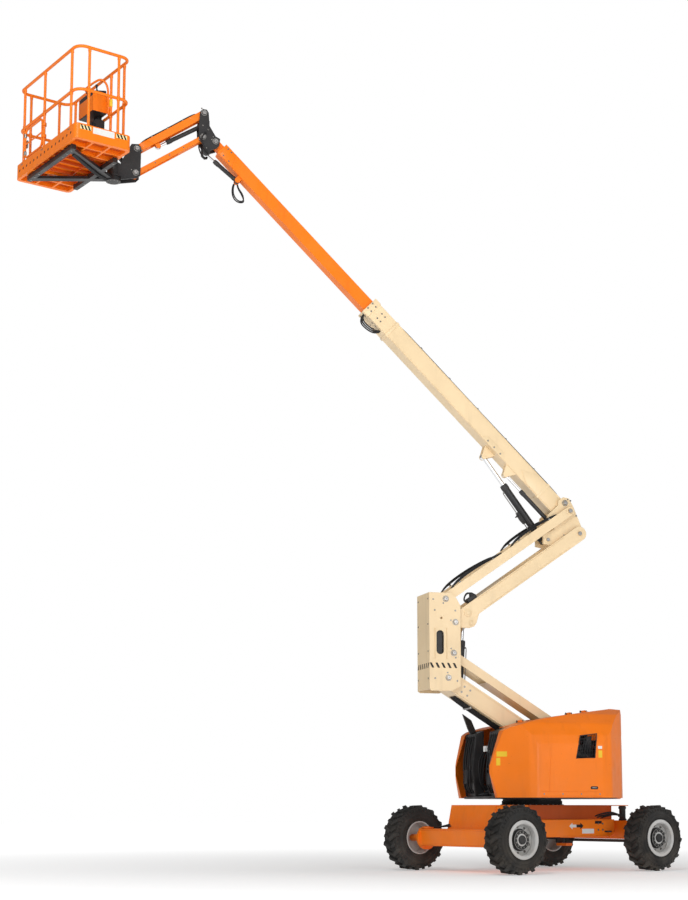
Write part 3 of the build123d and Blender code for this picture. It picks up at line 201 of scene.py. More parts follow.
class Piece:
    """Collects geometry for one object that rides on one body."""

    begun = []

    def __init__(self, name, body, material, bevel=0.0, at=HERE, sharp=35.0):
        self.name, self.body, self.material, self.bevel = name, body, material, bevel
        self.at, self.sharp = at, sharp
        self.mesh = bmesh.new()
        self.begun.append(self)

    def ring(self, points):
        return [self.mesh.verts.new(self.at @ Vector(p)) for p in points]

    def bridge(self, a, b):
        for i in range(len(a)):
            j = (i + 1) % len(a)
            self.mesh.faces.new((a[i], a[j], b[j], b[i]))

    def prism(self, outline, step):
        """Extrudes a closed outline of 3-D points by the vector `step`."""
        low = self.ring(outline)
        high = self.ring([Vector(p) + Vector(step) for p in outline])
        self.mesh.faces.new(low)
        self.mesh.faces.new(high[::-1])
        self.bridge(low[::-1], high[::-1])

    def plate(self, outline, near, far):
        """An outline of (x, z), filled across the boom's plane."""
        self.prism([(x, near, z) for x, z in outline], (0, far - near, 0))

    def box(self, low, high, turned=HERE):
        keep, self.at = self.at, self.at @ turned
        self.prism([(low[0], low[1], low[2]), (high[0], low[1], low[2]), (high[0], high[1], low[2]),
                    (low[0], high[1], low[2])], (0, 0, high[2] - low[2]))
        self.at = keep

    def lathe(self, profile, centre, axis, sides=28):
        """Turns (radius, along) points about an axis; closes where the radius is 0."""
        axis = Vector(axis).normalized()
        side = axis.orthogonal().normalized()
        other = axis.cross(side)
        rings = []
        for radius, along in profile:
            mid = Vector(centre) + axis * along
            spokes = ([mid + (side * c + other * s) * radius for c, s in circle(sides)]
                      if radius > 1e-6 else [mid])
            rings.append(self.ring(spokes))
        for a, b in zip(rings, rings[1:]):
            if len(a) == len(b):
                self.bridge(a, b)
                continue
            for i in range(sides):
                j = (i + 1) % sides
                self.mesh.faces.new((a[0], b[j], b[i]) if len(a) == 1 else (a[i], a[j], b[0]))

    def bolt(self, centre, axis, radius):
        """A hexagon head with a chamfer on a round washer."""
        r = radius
        self.lathe([(0, 0), (r * 1.35, 0), (r * 1.35, r * 0.22), (0, r * 0.22)], centre, axis, 14)
        self.lathe([(0, 0), (r, 0), (r, r * 0.55), (r * 0.8, r * 0.75), (0, r * 0.78)],
                   Vector(centre) + Vector(axis).normalized() * r * 0.2, axis, 6)

    def bolts(self, spots, y, radius, sides=(1, -1)):
        """Bolts at (x, z) spots on both sides, `y` from the middle."""
        for side in sides:
            for x, z in spots:
                self.bolt((x, side * y, z), (0, side, 0), radius)

    def bolt_circle(self, count, circle_radius, centre, axis, radius):
        """Bolts on a level circle."""
        for c, s in circle(count):
            self.bolt((centre[0] + circle_radius * c, circle_radius * s, centre[1]), axis, radius)

    def pin(self, centre, axis, r):
        """A pin's end: chamfered head and centre drilling."""
        self.lathe([(0, 0), (r, 0), (r, 0.01), (r * 0.86, 0.014), (r * 0.25, 0.014), (r * 0.2, 0.008),
                    (0, 0.008)], centre, axis)

    def tube(self, path, radius, sides=8, closed=False, smooth=0):
        """A tube swept along points, with its frame carried from one to the next."""
        points = [Vector(p) for p in path]
        for _ in range(smooth):
            new = []
            for a, b in zip(points, points[1:] + points[:1] if closed else points[1:]):
                new += [a.lerp(b, 0.25), a.lerp(b, 0.75)]
            points = new if closed else [points[0]] + new[1:-1] + [points[-1]]
        last = len(points) - 1
        rings = []
        normal = None
        for i, p in enumerate(points):
            if closed:
                tangent = (points[i + 1 if i < last else 0] - points[i - 1]).normalized()
            else:
                tangent = (points[min(i + 1, last)] - points[max(i - 1, 0)]).normalized()
            if normal is None:
                normal = tangent.orthogonal().normalized()
            else:
                normal = (normal - tangent * normal.dot(tangent)).normalized()
            other = tangent.cross(normal)
            rings.append(self.ring([p + (normal * c + other * s) * radius for c, s in circle(sides)]))
        for a, b in zip(rings, rings[1:]):
            self.bridge(a, b)
        if closed:
            last, first = rings[-1], rings[0]
            gap = min(range(sides), key=lambda s: (last[0].co - first[s].co).length)
            self.bridge(last, first[gap:] + first[:gap])
        else:
            self.mesh.faces.new(rings[0][::-1])
            self.mesh.faces.new(rings[-1])

    def seams(self, bar, first, last, rise, out, radius):
        """Four weld beads along a box section's edges, on both sides and at top and bottom."""
        for side in (1, -1):
            for way in (1, -1):
                self.tube(at_y(bar((first, way * rise), (last, way * rise)), side * out), radius)

    def done(self):
        data = bpy.data.meshes.new(self.name)
        bmesh.ops.recalc_face_normals(self.mesh, faces=self.mesh.faces)
        self.mesh.to_mesh(data)
        self.mesh.free()
        piece = bpy.data.objects.new(self.name, data)
        bpy.context.scene.collection.objects.link(piece)
        data.materials.append(self.material)
        if self.bevel:
            made = piece.modifiers.new("edge", "BEVEL")
            made.width, made.segments, made.limit_method = self.bevel, 2, "ANGLE"
            made.angle_limit = math.radians(40)
            bpy.context.view_layer.objects.active = piece
            piece.select_set(True)
            bpy.ops.object.modifier_apply(modifier="edge")
            piece.select_set(False)
        for face in data.polygons:
            face.use_smooth = True
        data.set_sharp_from_angle(angle=math.radians(self.sharp))
        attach(piece, self.body)


def slewing(name, body, material, bevel=0.0):
    return Piece(name, body, material, bevel, TURN)


def ahead(point, angle, length, rise=0.0):
    a = math.radians(angle)
    return (point[0] + length * math.cos(a) - rise * math.sin(a),
            point[1] + length * math.sin(a) + rise * math.cos(a))


def bars(start, angle):
    """Places points given as (along, rise) from the start of a bar at that angle."""
    return lambda *spots: [ahead(start, angle, *spot) for spot in spots]


# --- driving points, as in the CAD

WHEELBASE, TRACK, TYRE_R = 2.34, 2.01, 0.42
FOOT_MAIN, FOOT_LINK = (-0.6881, 1.2677), (-0.7611, 1.5877)
LOW_D, LOW_C, UP_B, UP_A = (1.22, 2.46), (1.147, 2.78), (1.12, 3.18), (1.25, 3.48)
TOP_B, TOP_A, BOOM_M = (-0.6576, 4.4247), (-0.5276, 4.7247), (-0.4776, 4.8397)
LIFT_FOOT, LEVEL_FOOT = (-0.2276, 4.3347), (-0.2876, 4.5847)
FLY_TIP, JIB_J2, JIB_J1 = (4.2979, 9.3965), (4.4619, 9.4445), (4.4519, 9.7695)
JIB_O2, JIB_O1 = (5.3303, 8.8631), (5.3203, 9.1881)
TOWER_ANGLE, UPPER_ANGLE, BOOM_ANGLE, JIB_ANGLE, BOOM_DROP = 32.0, 145.0, 44.5, -33.8, 0.097
PLAT_Z, DECK_TOP, SUPPORT_UNDER, RAIL_TOP, RAIL_MID = 8.815, 8.885, 8.753, 10.005, 9.455
PLAT_NEAR, PLAT_FAR, PLAT_HALF = 0.2, 0.96, 0.86
GATE_NEAR = -0.135
SIDES = (("left", 1), ("right", -1))


def on_boom(along, above=0.0):
    """A point of the boom's plane, `along` from its pin and `above` its centre line."""
    return ahead(BOOM_M, BOOM_ANGLE, along, above - BOOM_DROP)


def at_y(points, y):
    return [(x, y, z) for x, z in points]


def ring_of(count, radius, centre, start=0.0):
    """Points round a vertical circle's centre in the plane across Y."""
    for c, s in circle(count, start):
        yield (centre[0] + radius * c, centre[1], centre[2] + radius * s)


# --- wheels


TREAD_START = 109.2  # turns the added lugs to the middle of the CAD lugs' gaps


def dress_wheels():
    for corner in CORNERS:
        axle, name = corner.split("_")
        wheel_x, side = WHEELBASE / (2 if axle == "front" else -2), 1 if name == "left" else -1
        body, out = f"{axle}_wheel_{name}", (0, side, 0)
        centre = Matrix.Translation((wheel_x, side * TRACK / 2, TYRE_R))

        def beyond(inward, x=wheel_x, side=side):
            """A point on the wheel's height, outward of the tyre's middle."""
            return (x, side * (TRACK / 2 + inward), TYRE_R)

        middle, face = beyond(0), beyond(0.062)
        Piece(f"hub_{corner}", body, CAST).lathe(
            [(0.119, 0.06), (0.135, 0.063), (0.135, 0.07), (0.121, 0.076), (0.121, 0.106), (0.112, 0.113),
             (0.078, 0.113), (0.074, 0.108), (0.056, 0.108), (0.052, 0.128), (0.044, 0.134), (0.012, 0.134),
             (0, 0.13)], middle, out, 36)

        nuts = Piece(f"wheel_nuts_{corner}", body, ZINC)
        for place in ring_of(9, 0.158, face):
            nuts.bolt(place, out, 0.0125)
            nuts.lathe(disc(0.006, 0.022), place, out, 8)
        for place in ring_of(12, 0.094, beyond(0.113), 0.2):
            nuts.bolt(place, out, 0.0075)

        dish = Piece(f"rim_rings_{corner}", body, RIM)
        for along in (0.14, 0.112, 0.088):
            dish.lathe(sleeve(0.1965, 0.1895, along - 0.006, along + 0.006), middle, out, 48)
        dish.lathe([(0.2285, 0.136), (0.236, 0.139), (0.236, 0.147), (0.229, 0.1502), (0.198, 0.1502)],
                   middle, out, 48)
        for hole in ring_of(9, 0.158, face, math.pi / 9):
            dish.lathe(
                [(0.016, 0), (0.016, 0.004), (0.011, 0.004), (0.011, 0.001), (0, 0.001)], hole, out, 16)
        dish.lathe(disc(0.005, 0.035), beyond(0.09, wheel_x + 0.186), out, 8)

        wall = Piece(f"tyre_walls_{corner}", body, RUBBER, sharp=50.0)
        for way, low, high in flanks(side * 0.128, side * 0.1415):
            for radius, along, rise in ((0.246, 0.134, 0.004), (0.262, 0.14, 0.003), (0.3, 0.1472, 0.004),
                                        (0.338, 0.1385, 0.003)):
                wall.lathe([(radius - 0.008, along - 0.004), (radius - 0.004, along + rise),
                            (radius + 0.004, along + rise), (radius + 0.008, along - 0.004)],
                           middle, (0, side * way, 0), 64)
            for n in range(48):
                wall.box((0.345, low, -0.004), (0.372, high, 0.004),
                         centre @ Matrix.Rotation(math.pi * (2 * n + 1) / 48, 4, "Y"))

        tread = Piece(f"tread_lugs_{corner}", body, RUBBER, 0.004, sharp=50.0)
        for row, near, far in flanks(0.012, 0.122):
            lean = Matrix.Rotation(math.radians(30.0 * row), 4, "X")
            for n in range(12):
                turn = math.radians(TREAD_START + (0.0 if row > 0 else 15.0) + 30.0 * n)
                tread.box((0.372, near, -0.019), (0.4085, far, 0.019),
                          centre @ Matrix.Rotation(turn, 4, "Y") @ lean)


# --- chassis


def dress_chassis():
    def piece(name, material, bevel=0.0):
        return Piece(name, "chassis", material, bevel)

    bolts = piece("ring_bolts", ZINC)
    bolts.bolt_circle(32, 0.402, (0, 0.84), UP, 0.01)
    for side in (1, -1):
        bolts.bolts(
            [(x, z) for x in (-0.8, -0.72, 0.3, 0.62, 0.7) for z in (0.52, 0.6)], 0.478, 0.01, (side,))
        for place in ring_of(10, 0.128, (WHEELBASE / 2, side * 0.74, TYRE_R)):
            bolts.bolt(place, (0, -side, 0), 0.011)

    teeth = piece("ring_teeth", CAST)
    for n in range(96):
        teeth.box((0.378, -0.006, 0.85), (0.392, 0.006, 0.895), Matrix.Rotation(math.pi * n / 48, 4, "Z"))

    flanges = piece("frame_flanges", ORANGE, 0.003)
    for (_, low_y, high_y), (_, near, far) in zip(flanks(0.477, 0.487), flanks(0.43, 0.442)):
        for low, high in ((0.434, 0.446), (0.641, 0.653)):
            flanges.box((-0.9, low_y, low), (0.835, high_y, high))
        flanges.plate([(0.8, 0.7), (0.98, 0.7), (0.98, 0.83), (0.86, 0.83)], near, far)
    for low, high in ((0.326, 0.338), (0.52, 0.532)):
        flanges.box((1.279, -0.7, low), (1.287, 0.7, high))

    # a thin sheet of darker orange over the frame's recessed upper sides: painted shade
    shade = piece("frame_recess_painted_shade", PAINTED_SHADE_ORANGE)
    for _, near, far in flanks(0.4302, 0.4315):
        shade.box((-1.005, near, 0.66), (0.45, far, 0.838))

    covers, loops = piece("axle_covers", ORANGE), piece("tie_down_loops", BLACK)
    arrow = [(0, 0), (0.055, 0.042), (0.055, 0.018), (0.125, 0.018), (0.125, -0.018), (0.055, -0.018),
             (0.055, -0.042)]
    for (name, _), (_, near, far) in zip(SIDES, flanks(0.4782, 0.48)):
        plates, arrows = piece(f"frame_plates_{name}", WHITE), piece(f"frame_arrows_{name}", DARK)
        plates.plate([(-0.64, 0.475), (-0.43, 0.475), (-0.43, 0.535), (-0.64, 0.535)], near, far)
        plates.plate([(-0.205 - x, 0.572 + z) for x, z in arrow], near, far)
        arrows.plate([(-0.455 + x, 0.572 + z) for x, z in arrow], near, far)
        arrows.plate([(-0.78, 0.6), (-0.66, 0.6), (-0.66, 0.635), (-0.78, 0.635)], near, far)
    ends, hoses = piece("cylinder_caps", CAST), piece("axle_hoses", HOSE)
    for side in (1, -1):
        covers.lathe([(0.06, 0), (0.075, 0.01), (0.075, 0.018), (0, 0.018)],
                     (WHEELBASE / 2 + 0.05, side * 0.64, 0.54), UP, 24)
        for x in (-0.88, 0.82):
            loops.tube([(x + dx, side * y, 0.5) for dx, y in
                        ((-0.04, 0.476), (-0.04, 0.519), (0, 0.536), (0.04, 0.519), (0.04, 0.476))],
                       0.01, 10, smooth=2)
        x, y = -WHEELBASE / 2 + 0.03, side * 0.5
        for z, deep in ((0.64, 0.02), (0.79, 0.03)):
            ends.lathe([(0.043, 0), (0.05, 0.003), (0.05, deep), (0.043, deep + 0.004)], (x, y, z), UP, 24)
        ends.lathe(disc(0.014, 0.03), (x + 0.04, y, 0.7), (1, 0, 0), 10)
        for d in (0.0, 0.03, 0.06):
            hoses.tube([(-0.6, side * 0.38, 0.6 + d), (-0.9, side * (0.44 + d), 0.7 + d),
                        (-1.0, side * (0.5 + d), 0.72), (-1.06, side * (0.56 + d / 2), 0.7),
                        (-1.1, side * (0.58 + d / 2), 0.645)], 0.01, smooth=3)
        for d in (0.0, 0.03):
            hoses.tube([(0.95, side * (0.3 + d), 0.5), (1.04, side * (0.34 + d), 0.575 + d),
                        (1.12, side * (0.45 + d), 0.565), (1.16, side * (0.6 + d), 0.556),
                        (1.17, side * 0.7, 0.52)], 0.01, smooth=3)


# --- turntable and hoods


def dress_turntable():
    def piece(name, material, bevel=0.0):
        return slewing(name, "turntable", material, bevel)

    block = piece("valve_block", CAST, 0.004)  # low, under the folded riser
    block.box((0.38, -0.17, 0.948), (0.56, 0.02, 1.04))
    block.box((0.4, 0.05, 0.948), (0.55, 0.19, 1.01))
    block.box((0.42, -0.14, 1.04), (0.52, -0.02, 1.06))
    for n in range(5):
        y = -0.15 + 0.038 * n
        block.lathe([(0.016, 0), (0.016, 0.05), (0.01, 0.055), (0.01, 0.075), (0, 0.075)], (0.56, y, 0.975),
                    (1, 0, 0), 12)
        block.lathe(disc(0.012, 0.03), (0.56, y, 1.018), (1, 0, 0), 6)

    hoses = piece("opening_hoses", HOSE)
    for n in range(7):  # low, so that the riser folds down over them
        y = -0.15 + 0.05 * n
        bow = 0.02 * math.sin(1.9 * n + 0.6)
        hoses.tube([(0.2, y * 0.8, 0.975), (0.46, y, 0.985), (0.62, y + bow, 0.99 + bow / 2),
                    (0.68, y * 1.1, 0.965)], 0.013 if n % 2 else 0.01, 9, smooth=3)
    for side in (1, -1):
        for n in range(3):
            bow = 0.05 * math.sin(1.9 * n + 0.6)
            hoses.tube(at_y([(0.3, 0.975), (0.6, 1.02 + 0.03 * n), (0.655 - 0.03 * n, 1.24 + bow),
                (0.64 - 0.04 * n, 1.46), (0.5, 1.62 + bow), (0.3, 1.6)], side * (0.222 + 0.01 * n)),
                0.01, 9, smooth=3)
        for n in range(4):
            y = side * (0.33 + 0.075 * n)
            bow = 0.03 * math.sin(2.3 * n + side)
            hoses.tube([(0.655, y, 0.965), (0.735 + bow / 2, y + bow, 1.06), (0.742, y - bow, 1.26),
                        (0.735, y + bow, 1.42), (0.715, y - bow / 2, 1.6), (0.672, y, 1.745)],
                       0.011, 9, smooth=3)

    panels = piece("panel_ribs", BLACK, 0.003)
    for side, near, far in flanks(0.275, 0.64):
        for x, z in ((0.672, 0.985), (0.711, 1.3), (0.665, 1.742)):
            panels.box((x - 0.03, near, z - 0.01), (x + 0.012, far, z + 0.01))
        for y in (0.275, 0.63):
            panels.plate([(0.65, 0.955), (0.684, 0.955), (0.722, 1.3), (0.672, 1.775), (0.64, 1.775)],
                         side * y - 0.008, side * y + 0.008)

    clamps = piece("panel_boxes", PLASTIC, 0.006)
    clamps.box((0.69, 0.36, 1.1), (0.752, 0.52, 1.24))
    clamps.box((0.7, 0.44, 1.36), (0.745, 0.58, 1.46))
    clamps.box((0.69, -0.56, 1.12), (0.748, -0.4, 1.3))
    label = piece("opening_plate", WHITE)
    label.box((0.704, 0.262, 1.52), (0.732, 0.266, 1.59))
    label.box((0.728, 0.18, 1.52), (0.732, 0.266, 1.59))

    bolts, pins = piece("table_bolts", ZINC), piece("foot_pins", STEEL)
    piece("front_plate", WHITE).box((0.7105, 0.295, 1.5), (0.7125, 0.375, 1.535))
    for side in (1, -1):
        for z in (1.02, 1.16, 1.44, 1.6):
            x = 0.6733 + (z - 0.95) * 0.114 if z < 1.3 else 0.71 - (z - 1.3) * 0.106
            for y in (0.3, 0.6):
                bolts.bolt((x - 0.002, side * y, z), (1, 0, 0.1), 0.008)
        bolts.bolts([(x, 1.02) for x in (-0.8, -0.72, -0.64)], 0.235, 0.014, (side,))
        bolts.bolts([(x + 0.055, z - 0.02) for x, z in (FOOT_MAIN, FOOT_LINK)], 0.235, 0.009, (side,))
    bolts.bolt_circle(24, 0.33, (0, 0.95), UP, 0.012)
    for x, z in (FOOT_MAIN, FOOT_LINK):
        for side in (1, -1):
            pins.pin((x, side * 0.25, z), (0, side, 0), 0.027)

    for (name, side), (_, near, far) in zip(SIDES, flanks(0.885, 0.945)):
        machinery = piece(f"window_machinery_{name}", CAST, 0.004)
        machinery.box((-0.46, near, 1.44), (-0.22, far, 1.5))
        machinery.box((-0.44, near, 1.58), (-0.36, far, 1.7))
        for n in range(4):
            machinery.lathe([(0, 0), (0.03, 0), (0.034, 0.01), (0.034, 0.07), (0.026, 0.085), (0, 0.085)],
                            (-0.42 + 0.058 * n, side * 0.93, 1.5 + 0.02 * (n % 2)), (0.15, 0, 1), 18)
        pipes = piece(f"window_pipes_{name}", HOSE)
        for n in range(5):
            pipes.tube([(-0.45 + 0.03 * n, side * 0.9, 1.42), (-0.43 + 0.035 * n, side * 0.972, 1.5),
                (-0.4 + 0.02 * n, side * 0.985, 1.58 + 0.01 * n), (-0.3 - 0.02 * n, side * 0.95, 1.68),
                (-0.24, side * 0.9, 1.64)], 0.009, smooth=3)


def dress_hoods():
    window = [(-0.19, 1.42), (-0.25, 1.7), (-0.47, 1.73), (-0.44, 1.43)]

    def between(first, last, share):
        return [a + (b - a) * share for a, b in zip(window[first], window[last])]

    for name, side in SIDES:
        def piece(what, material, bevel=0.0, name=name):
            return slewing(f"{what}_{name}", f"hood_{name}", material, bevel)

        piece("window_frame", PLASTIC).tube(at_y(window, side * 1.034), 0.009, closed=True)
        mesh = piece("window_mesh", PLASTIC)
        for n in range(1, 7):
            for a, b, c, d in ((0, 3, 1, 2), (0, 1, 3, 2)):
                mesh.tube(at_y((between(a, b, n / 7), between(c, d, n / 7)), side * 1.028), 0.0022, 6)

        piece("hood_latch", PLASTIC, 0.004).plate(
            [(-0.47, 1.035), (-0.38, 1.035), (-0.372, 1.05), (-0.385, 1.072), (-0.465, 1.072),
             (-0.478, 1.055)], *sorted((side * 1.03, side * 1.04)))
        near, far = sorted((side * 1.038, side * 1.046))
        piece("latch_handle", ZINC, 0.002).box((-0.455, near, 1.047), (-0.395, far, 1.06))

        creases = piece("hood_creases", ORANGE)
        creases.tube(at_y([(0.3, 1.008), (-0.535, 1.008)], side * 1.0335), 0.0045)
        creases.tube([(0.18, side * 1.0335, 1.01), (0.165, side * 1.0335, 1.3), (0.14, side * 1.032, 1.58)],
                     0.004, smooth=2)
        creases.tube(at_y([(0.3, 0.945), (-0.54, 0.945)], side * 1.0335), 0.006)

        near, far = sorted((side * 1.0345, side * 1.0362))
        yellow = piece("yellow_plates", YELLOW)
        yellow.box((-0.54, near, 1.43), (-0.49, far, 1.52))
        for first, last, low, high in ((0.2, 0.46, 1.44, 1.505), (0.19, 0.29, 1.33, 1.425)):
            yellow.prism([(0.8403 - 0.41 * t, side * (0.6604 + 0.34 * t), z) for t,
                z in ((first, low), (last, low), (last, high), (first, high))], (0.0012, side * 0.0014, 0))
        piece("white_plates", WHITE).box((-0.54, near, 1.54), (-0.485, far, 1.575))
        piece("hood_rivets", ZINC).bolts(
            [(x, 0.975) for x in (0.25, 0.0, -0.25, -0.5)], 1.035, 0.007, (side,))


# --- tower


def dress_pins():
    """Chamfered pin ends, most with a keeper plate and its bolt, on the body that holds each pin."""
    for body, point, out, radius, lean in (
        ("lower_upright", LOW_D, 0.262, 0.027, 80), ("lower_upright", LOW_C, 0.262, 0.027, 60),
        ("lower_upright", UP_B, 0.262, 0.027, 20), ("lower_upright", UP_A, 0.262, 0.027, -60),
        ("upper_upright", TOP_A, 0.217, 0.027, None), ("upper_upright", TOP_B, 0.217, 0.027, None),
        ("upper_upright", BOOM_M, 0.16, 0.027, 130), ("upper_upright", LIFT_FOOT, 0.148, 0.024, None),
        ("upper_upright", LEVEL_FOOT, 0.148, 0.019, None), ("jib_inner_bracket", FLY_TIP, 0.09, 0.027, 60),
        ("jib_inner_bracket", JIB_J1, 0.09, 0.027, 60), ("jib_inner_bracket", JIB_J2, 0.09, 0.027, -40),
        ("jib_outer_bracket", JIB_O1, 0.09, 0.027, 200), ("jib_outer_bracket", JIB_O2, 0.09, 0.027, 30),
    ):
        name = f"{body}_{round(point[0] * 100)}_{round(point[1] * 100)}"
        ends = slewing(f"pin_{name}", body, STEEL)
        for side in (1, -1):
            ends.pin((point[0], side * out, point[1]), (0, side, 0), radius)
        if lean is None:
            continue
        keepers = slewing(f"keeper_{name}", body, ZINC)
        for side in (1, -1):
            keepers.bolts([ahead(point, lean, 0.066)], out - 0.012, 0.008, (side,))
            keepers.lathe([(radius + 0.014, 0), (radius + 0.014, 0.005), (radius + 0.002, 0.005)],
                          (point[0], side * (out - 0.012), point[1]), (0, side, 0), 24)


def dress_tower():
    # black hazard dashes low on the upright, on its sides and its front
    band = slewing("upright_dashes", "lower_upright", DARK)
    low, high = 2.585, 2.65
    for _, near, far in flanks(0.2502, 0.2512):
        for n in range(5):
            x = 1.1 + 0.078 * n
            band.plate([(x, low), (x + 0.03, low), (x + 0.062, high), (x + 0.032, high)], near, far)
    for n in range(6):
        y = -0.235 + 0.08 * n
        band.prism([(1.4755, y + d, z) for d, z in ((0, low), (0.032, low), (0.064, high), (0.032, high))],
                   (0.001, 0, 0))

    trim = slewing("upright_edges", "lower_upright", CREAM, 0.003)
    for _, near, far in flanks(0.25, 0.258):
        for x in (1.235, 1.395):
            trim.plate([(x, 2.7), (x + 0.01, 2.7), (x + 0.01, 3.1), (x, 3.1)], near, far)
    # black rims round the slots, and a black sheet just inside each slot as painted shade for the upright's
    # hollow
    slots = slewing("slot_rims_and_shade", "lower_upright", BLACK)
    for side, near, far in flanks(0.2255, 0.2295):
        slots.tube([(1.33 + 0.045 * c, side * 0.2505, 2.915 + (0.105 if s > 0 else -0.105) + 0.045 * s)
                    for c, s in circle(24)], 0.005, closed=True)
        slots.box((1.27, near, 2.74), (1.39, far, 3.09))
    bolts = slewing("upright_bolts", "lower_upright", ZINC)
    bolts.bolts(
        [(1.12, 3.33), (1.4, 3.33), (1.12, 2.72), (1.4, 2.45), (1.1, 2.42), (1.42, 3.47)], 0.25, 0.009)
    for z in (2.45, 2.8, 3.15, 3.48):
        for y in (-0.2, 0.2):
            bolts.bolt((1.475, y, z), (1, 0, 0), 0.009)

    riser = bars(FOOT_MAIN, TOWER_ANGLE)
    slewing("riser_bolts", "lower_riser", ZINC).bolts(riser(
        (1.9, 0.035), (1.99, 0.035), (1.9, -0.045), (1.99, -0.045), (0.42, 0.0), (0.52, 0.0)), 0.19, 0.01)
    slewing("riser_welds", "lower_riser", CREAM).seams(riser, 0.1, 2.05, 0.094, 0.191, 0.0045)
    # hoses held under the riser's bottom plate
    hoses = slewing("riser_hoses", "lower_riser", HOSE)
    for n in range(5):
        path = riser((1.02 + 0.02 * n, -0.112), (1.08, -0.13), (1.5, -0.133), (1.9, -0.131), (2.02, -0.112))
        hoses.tube([(x, -0.1 + 0.05 * n + 0.006 * math.sin(3.0 * k + n), z) for k, (x, z) in enumerate(path)],
                   0.011, smooth=2)
    clamps = slewing("riser_clamps", "lower_riser", ZINC, 0.002)
    for a in (1.2, 1.75):
        clamps.plate(riser((a, -0.114), (a, -0.148), (a + 0.03, -0.148), (a + 0.03, -0.114)), -0.135, 0.135)

    # two black hose bundles along the upper links' tops
    link = bars(UP_A, UPPER_ANGLE)
    hoses = slewing("link_hoses", "upper_riser_links", HOSE)
    for n in range(4):
        rise = 0.072 + 0.018 * (n // 2)
        first, last = (0.16, 1.02) if n % 2 else (1.18, 1.98)
        for side in (1, -1):
            hoses.tube(
                at_y(link((first, -0.064), (first + 0.12, -rise - 0.02), ((first + last) / 2, -rise - 0.03),
                (last - 0.12, -rise), (last, -0.064)), side * (0.186 + (n % 2) * 0.011)), 0.009, smooth=3)
    plates = slewing("link_clamps", "upper_riser_links", ZINC, 0.0015)
    bosses = slewing("link_bosses", "upper_riser_links", CREAM)
    for side, near, far in flanks(0.18, 0.205):
        for a in (0.3, 0.86, 1.32, 1.84):
            plates.plate(link((a, -0.061), (a, -0.082), (a + 0.025, -0.082), (a + 0.025, -0.061)), near, far)
        for x, z in (UP_A, TOP_A):
            bosses.lathe([(0.058, 0), (0.058, 0.004), (0.038, 0.005)], (x, side * 0.205, z), (0, side, 0))

    # valve and hoses inside the upper riser's foot, and its cylinder lug's gussets
    valve = slewing("riser_valve", "upper_riser", CAST, 0.004)
    x, z = ahead(UP_B, UPPER_ANGLE, 0.4, -0.12)
    valve.plate(
        bars((x, z), UPPER_ANGLE)((-0.07, -0.03), (0.07, -0.03), (0.07, 0.03), (-0.07, 0.03)), 0.1, 0.18)
    valve.lathe(
        [(0.024, 0), (0.028, 0.006), (0.028, 0.05), (0.018, 0.06), (0, 0.06)], (x, 0.14, z + 0.02), UP, 16)
    loop = slewing("riser_valve_hoses", "upper_riser", HOSE)
    for n in range(3):
        loop.tube([(x - 0.05 + 0.03 * n, 0.155, z + 0.01), (x - 0.02 + 0.03 * n, 0.162, z + 0.08),
                   (x + 0.08, 0.16 - 0.01 * n, z + 0.06), (x + 0.11, 0.158 - 0.01 * n, z - 0.03),
                   (x + 0.06, 0.15, z - 0.06)], 0.008, smooth=3)
    welds = slewing("upper_riser_welds", "upper_riser", CREAM)
    gussets = slewing("riser_gussets", "upper_riser", CREAM, 0.002)
    welds.seams(bars(TOP_B, UPPER_ANGLE + 180), 0.22, 1.72, 0.078, 0.206, 0.004)
    lug = bars(UP_B, UPPER_ANGLE)
    for side, near, far in flanks(0.1865, 0.2035):
        gussets.plate(
            lug((0.02, 0.088), (0.13, 0.172), (0.2, 0.192), (0.255, 0.172), (0.36, 0.088)), near, far)
        gussets.lathe([(0.036, 0), (0.036, 0.006), (0.022, 0.006), (0.022, 0.012), (0, 0.012)],
                      at_y(lug((0.197, 0.138)), side * 0.2035)[0], (0, side, 0), 24)
        welds.lathe([(0.05, 0), (0.05, 0.006), (0.04, 0.01), (0.026, 0.01), (0.022, 0.016), (0, 0.016)],
                    at_y(lug((0.23,)), side * 0.205)[0], (0, side, 0))

    slewing("head_bolts", "upper_upright", ZINC).bolts(
        [(TOP_B[0] + dx, TOP_B[1] + dz) for dx, dz in
         ((0.02, 0.25), (0.1, 0.45), (0.4, 0.18), (0.44, -0.1), (0.2, -0.02))], 0.148, 0.009)


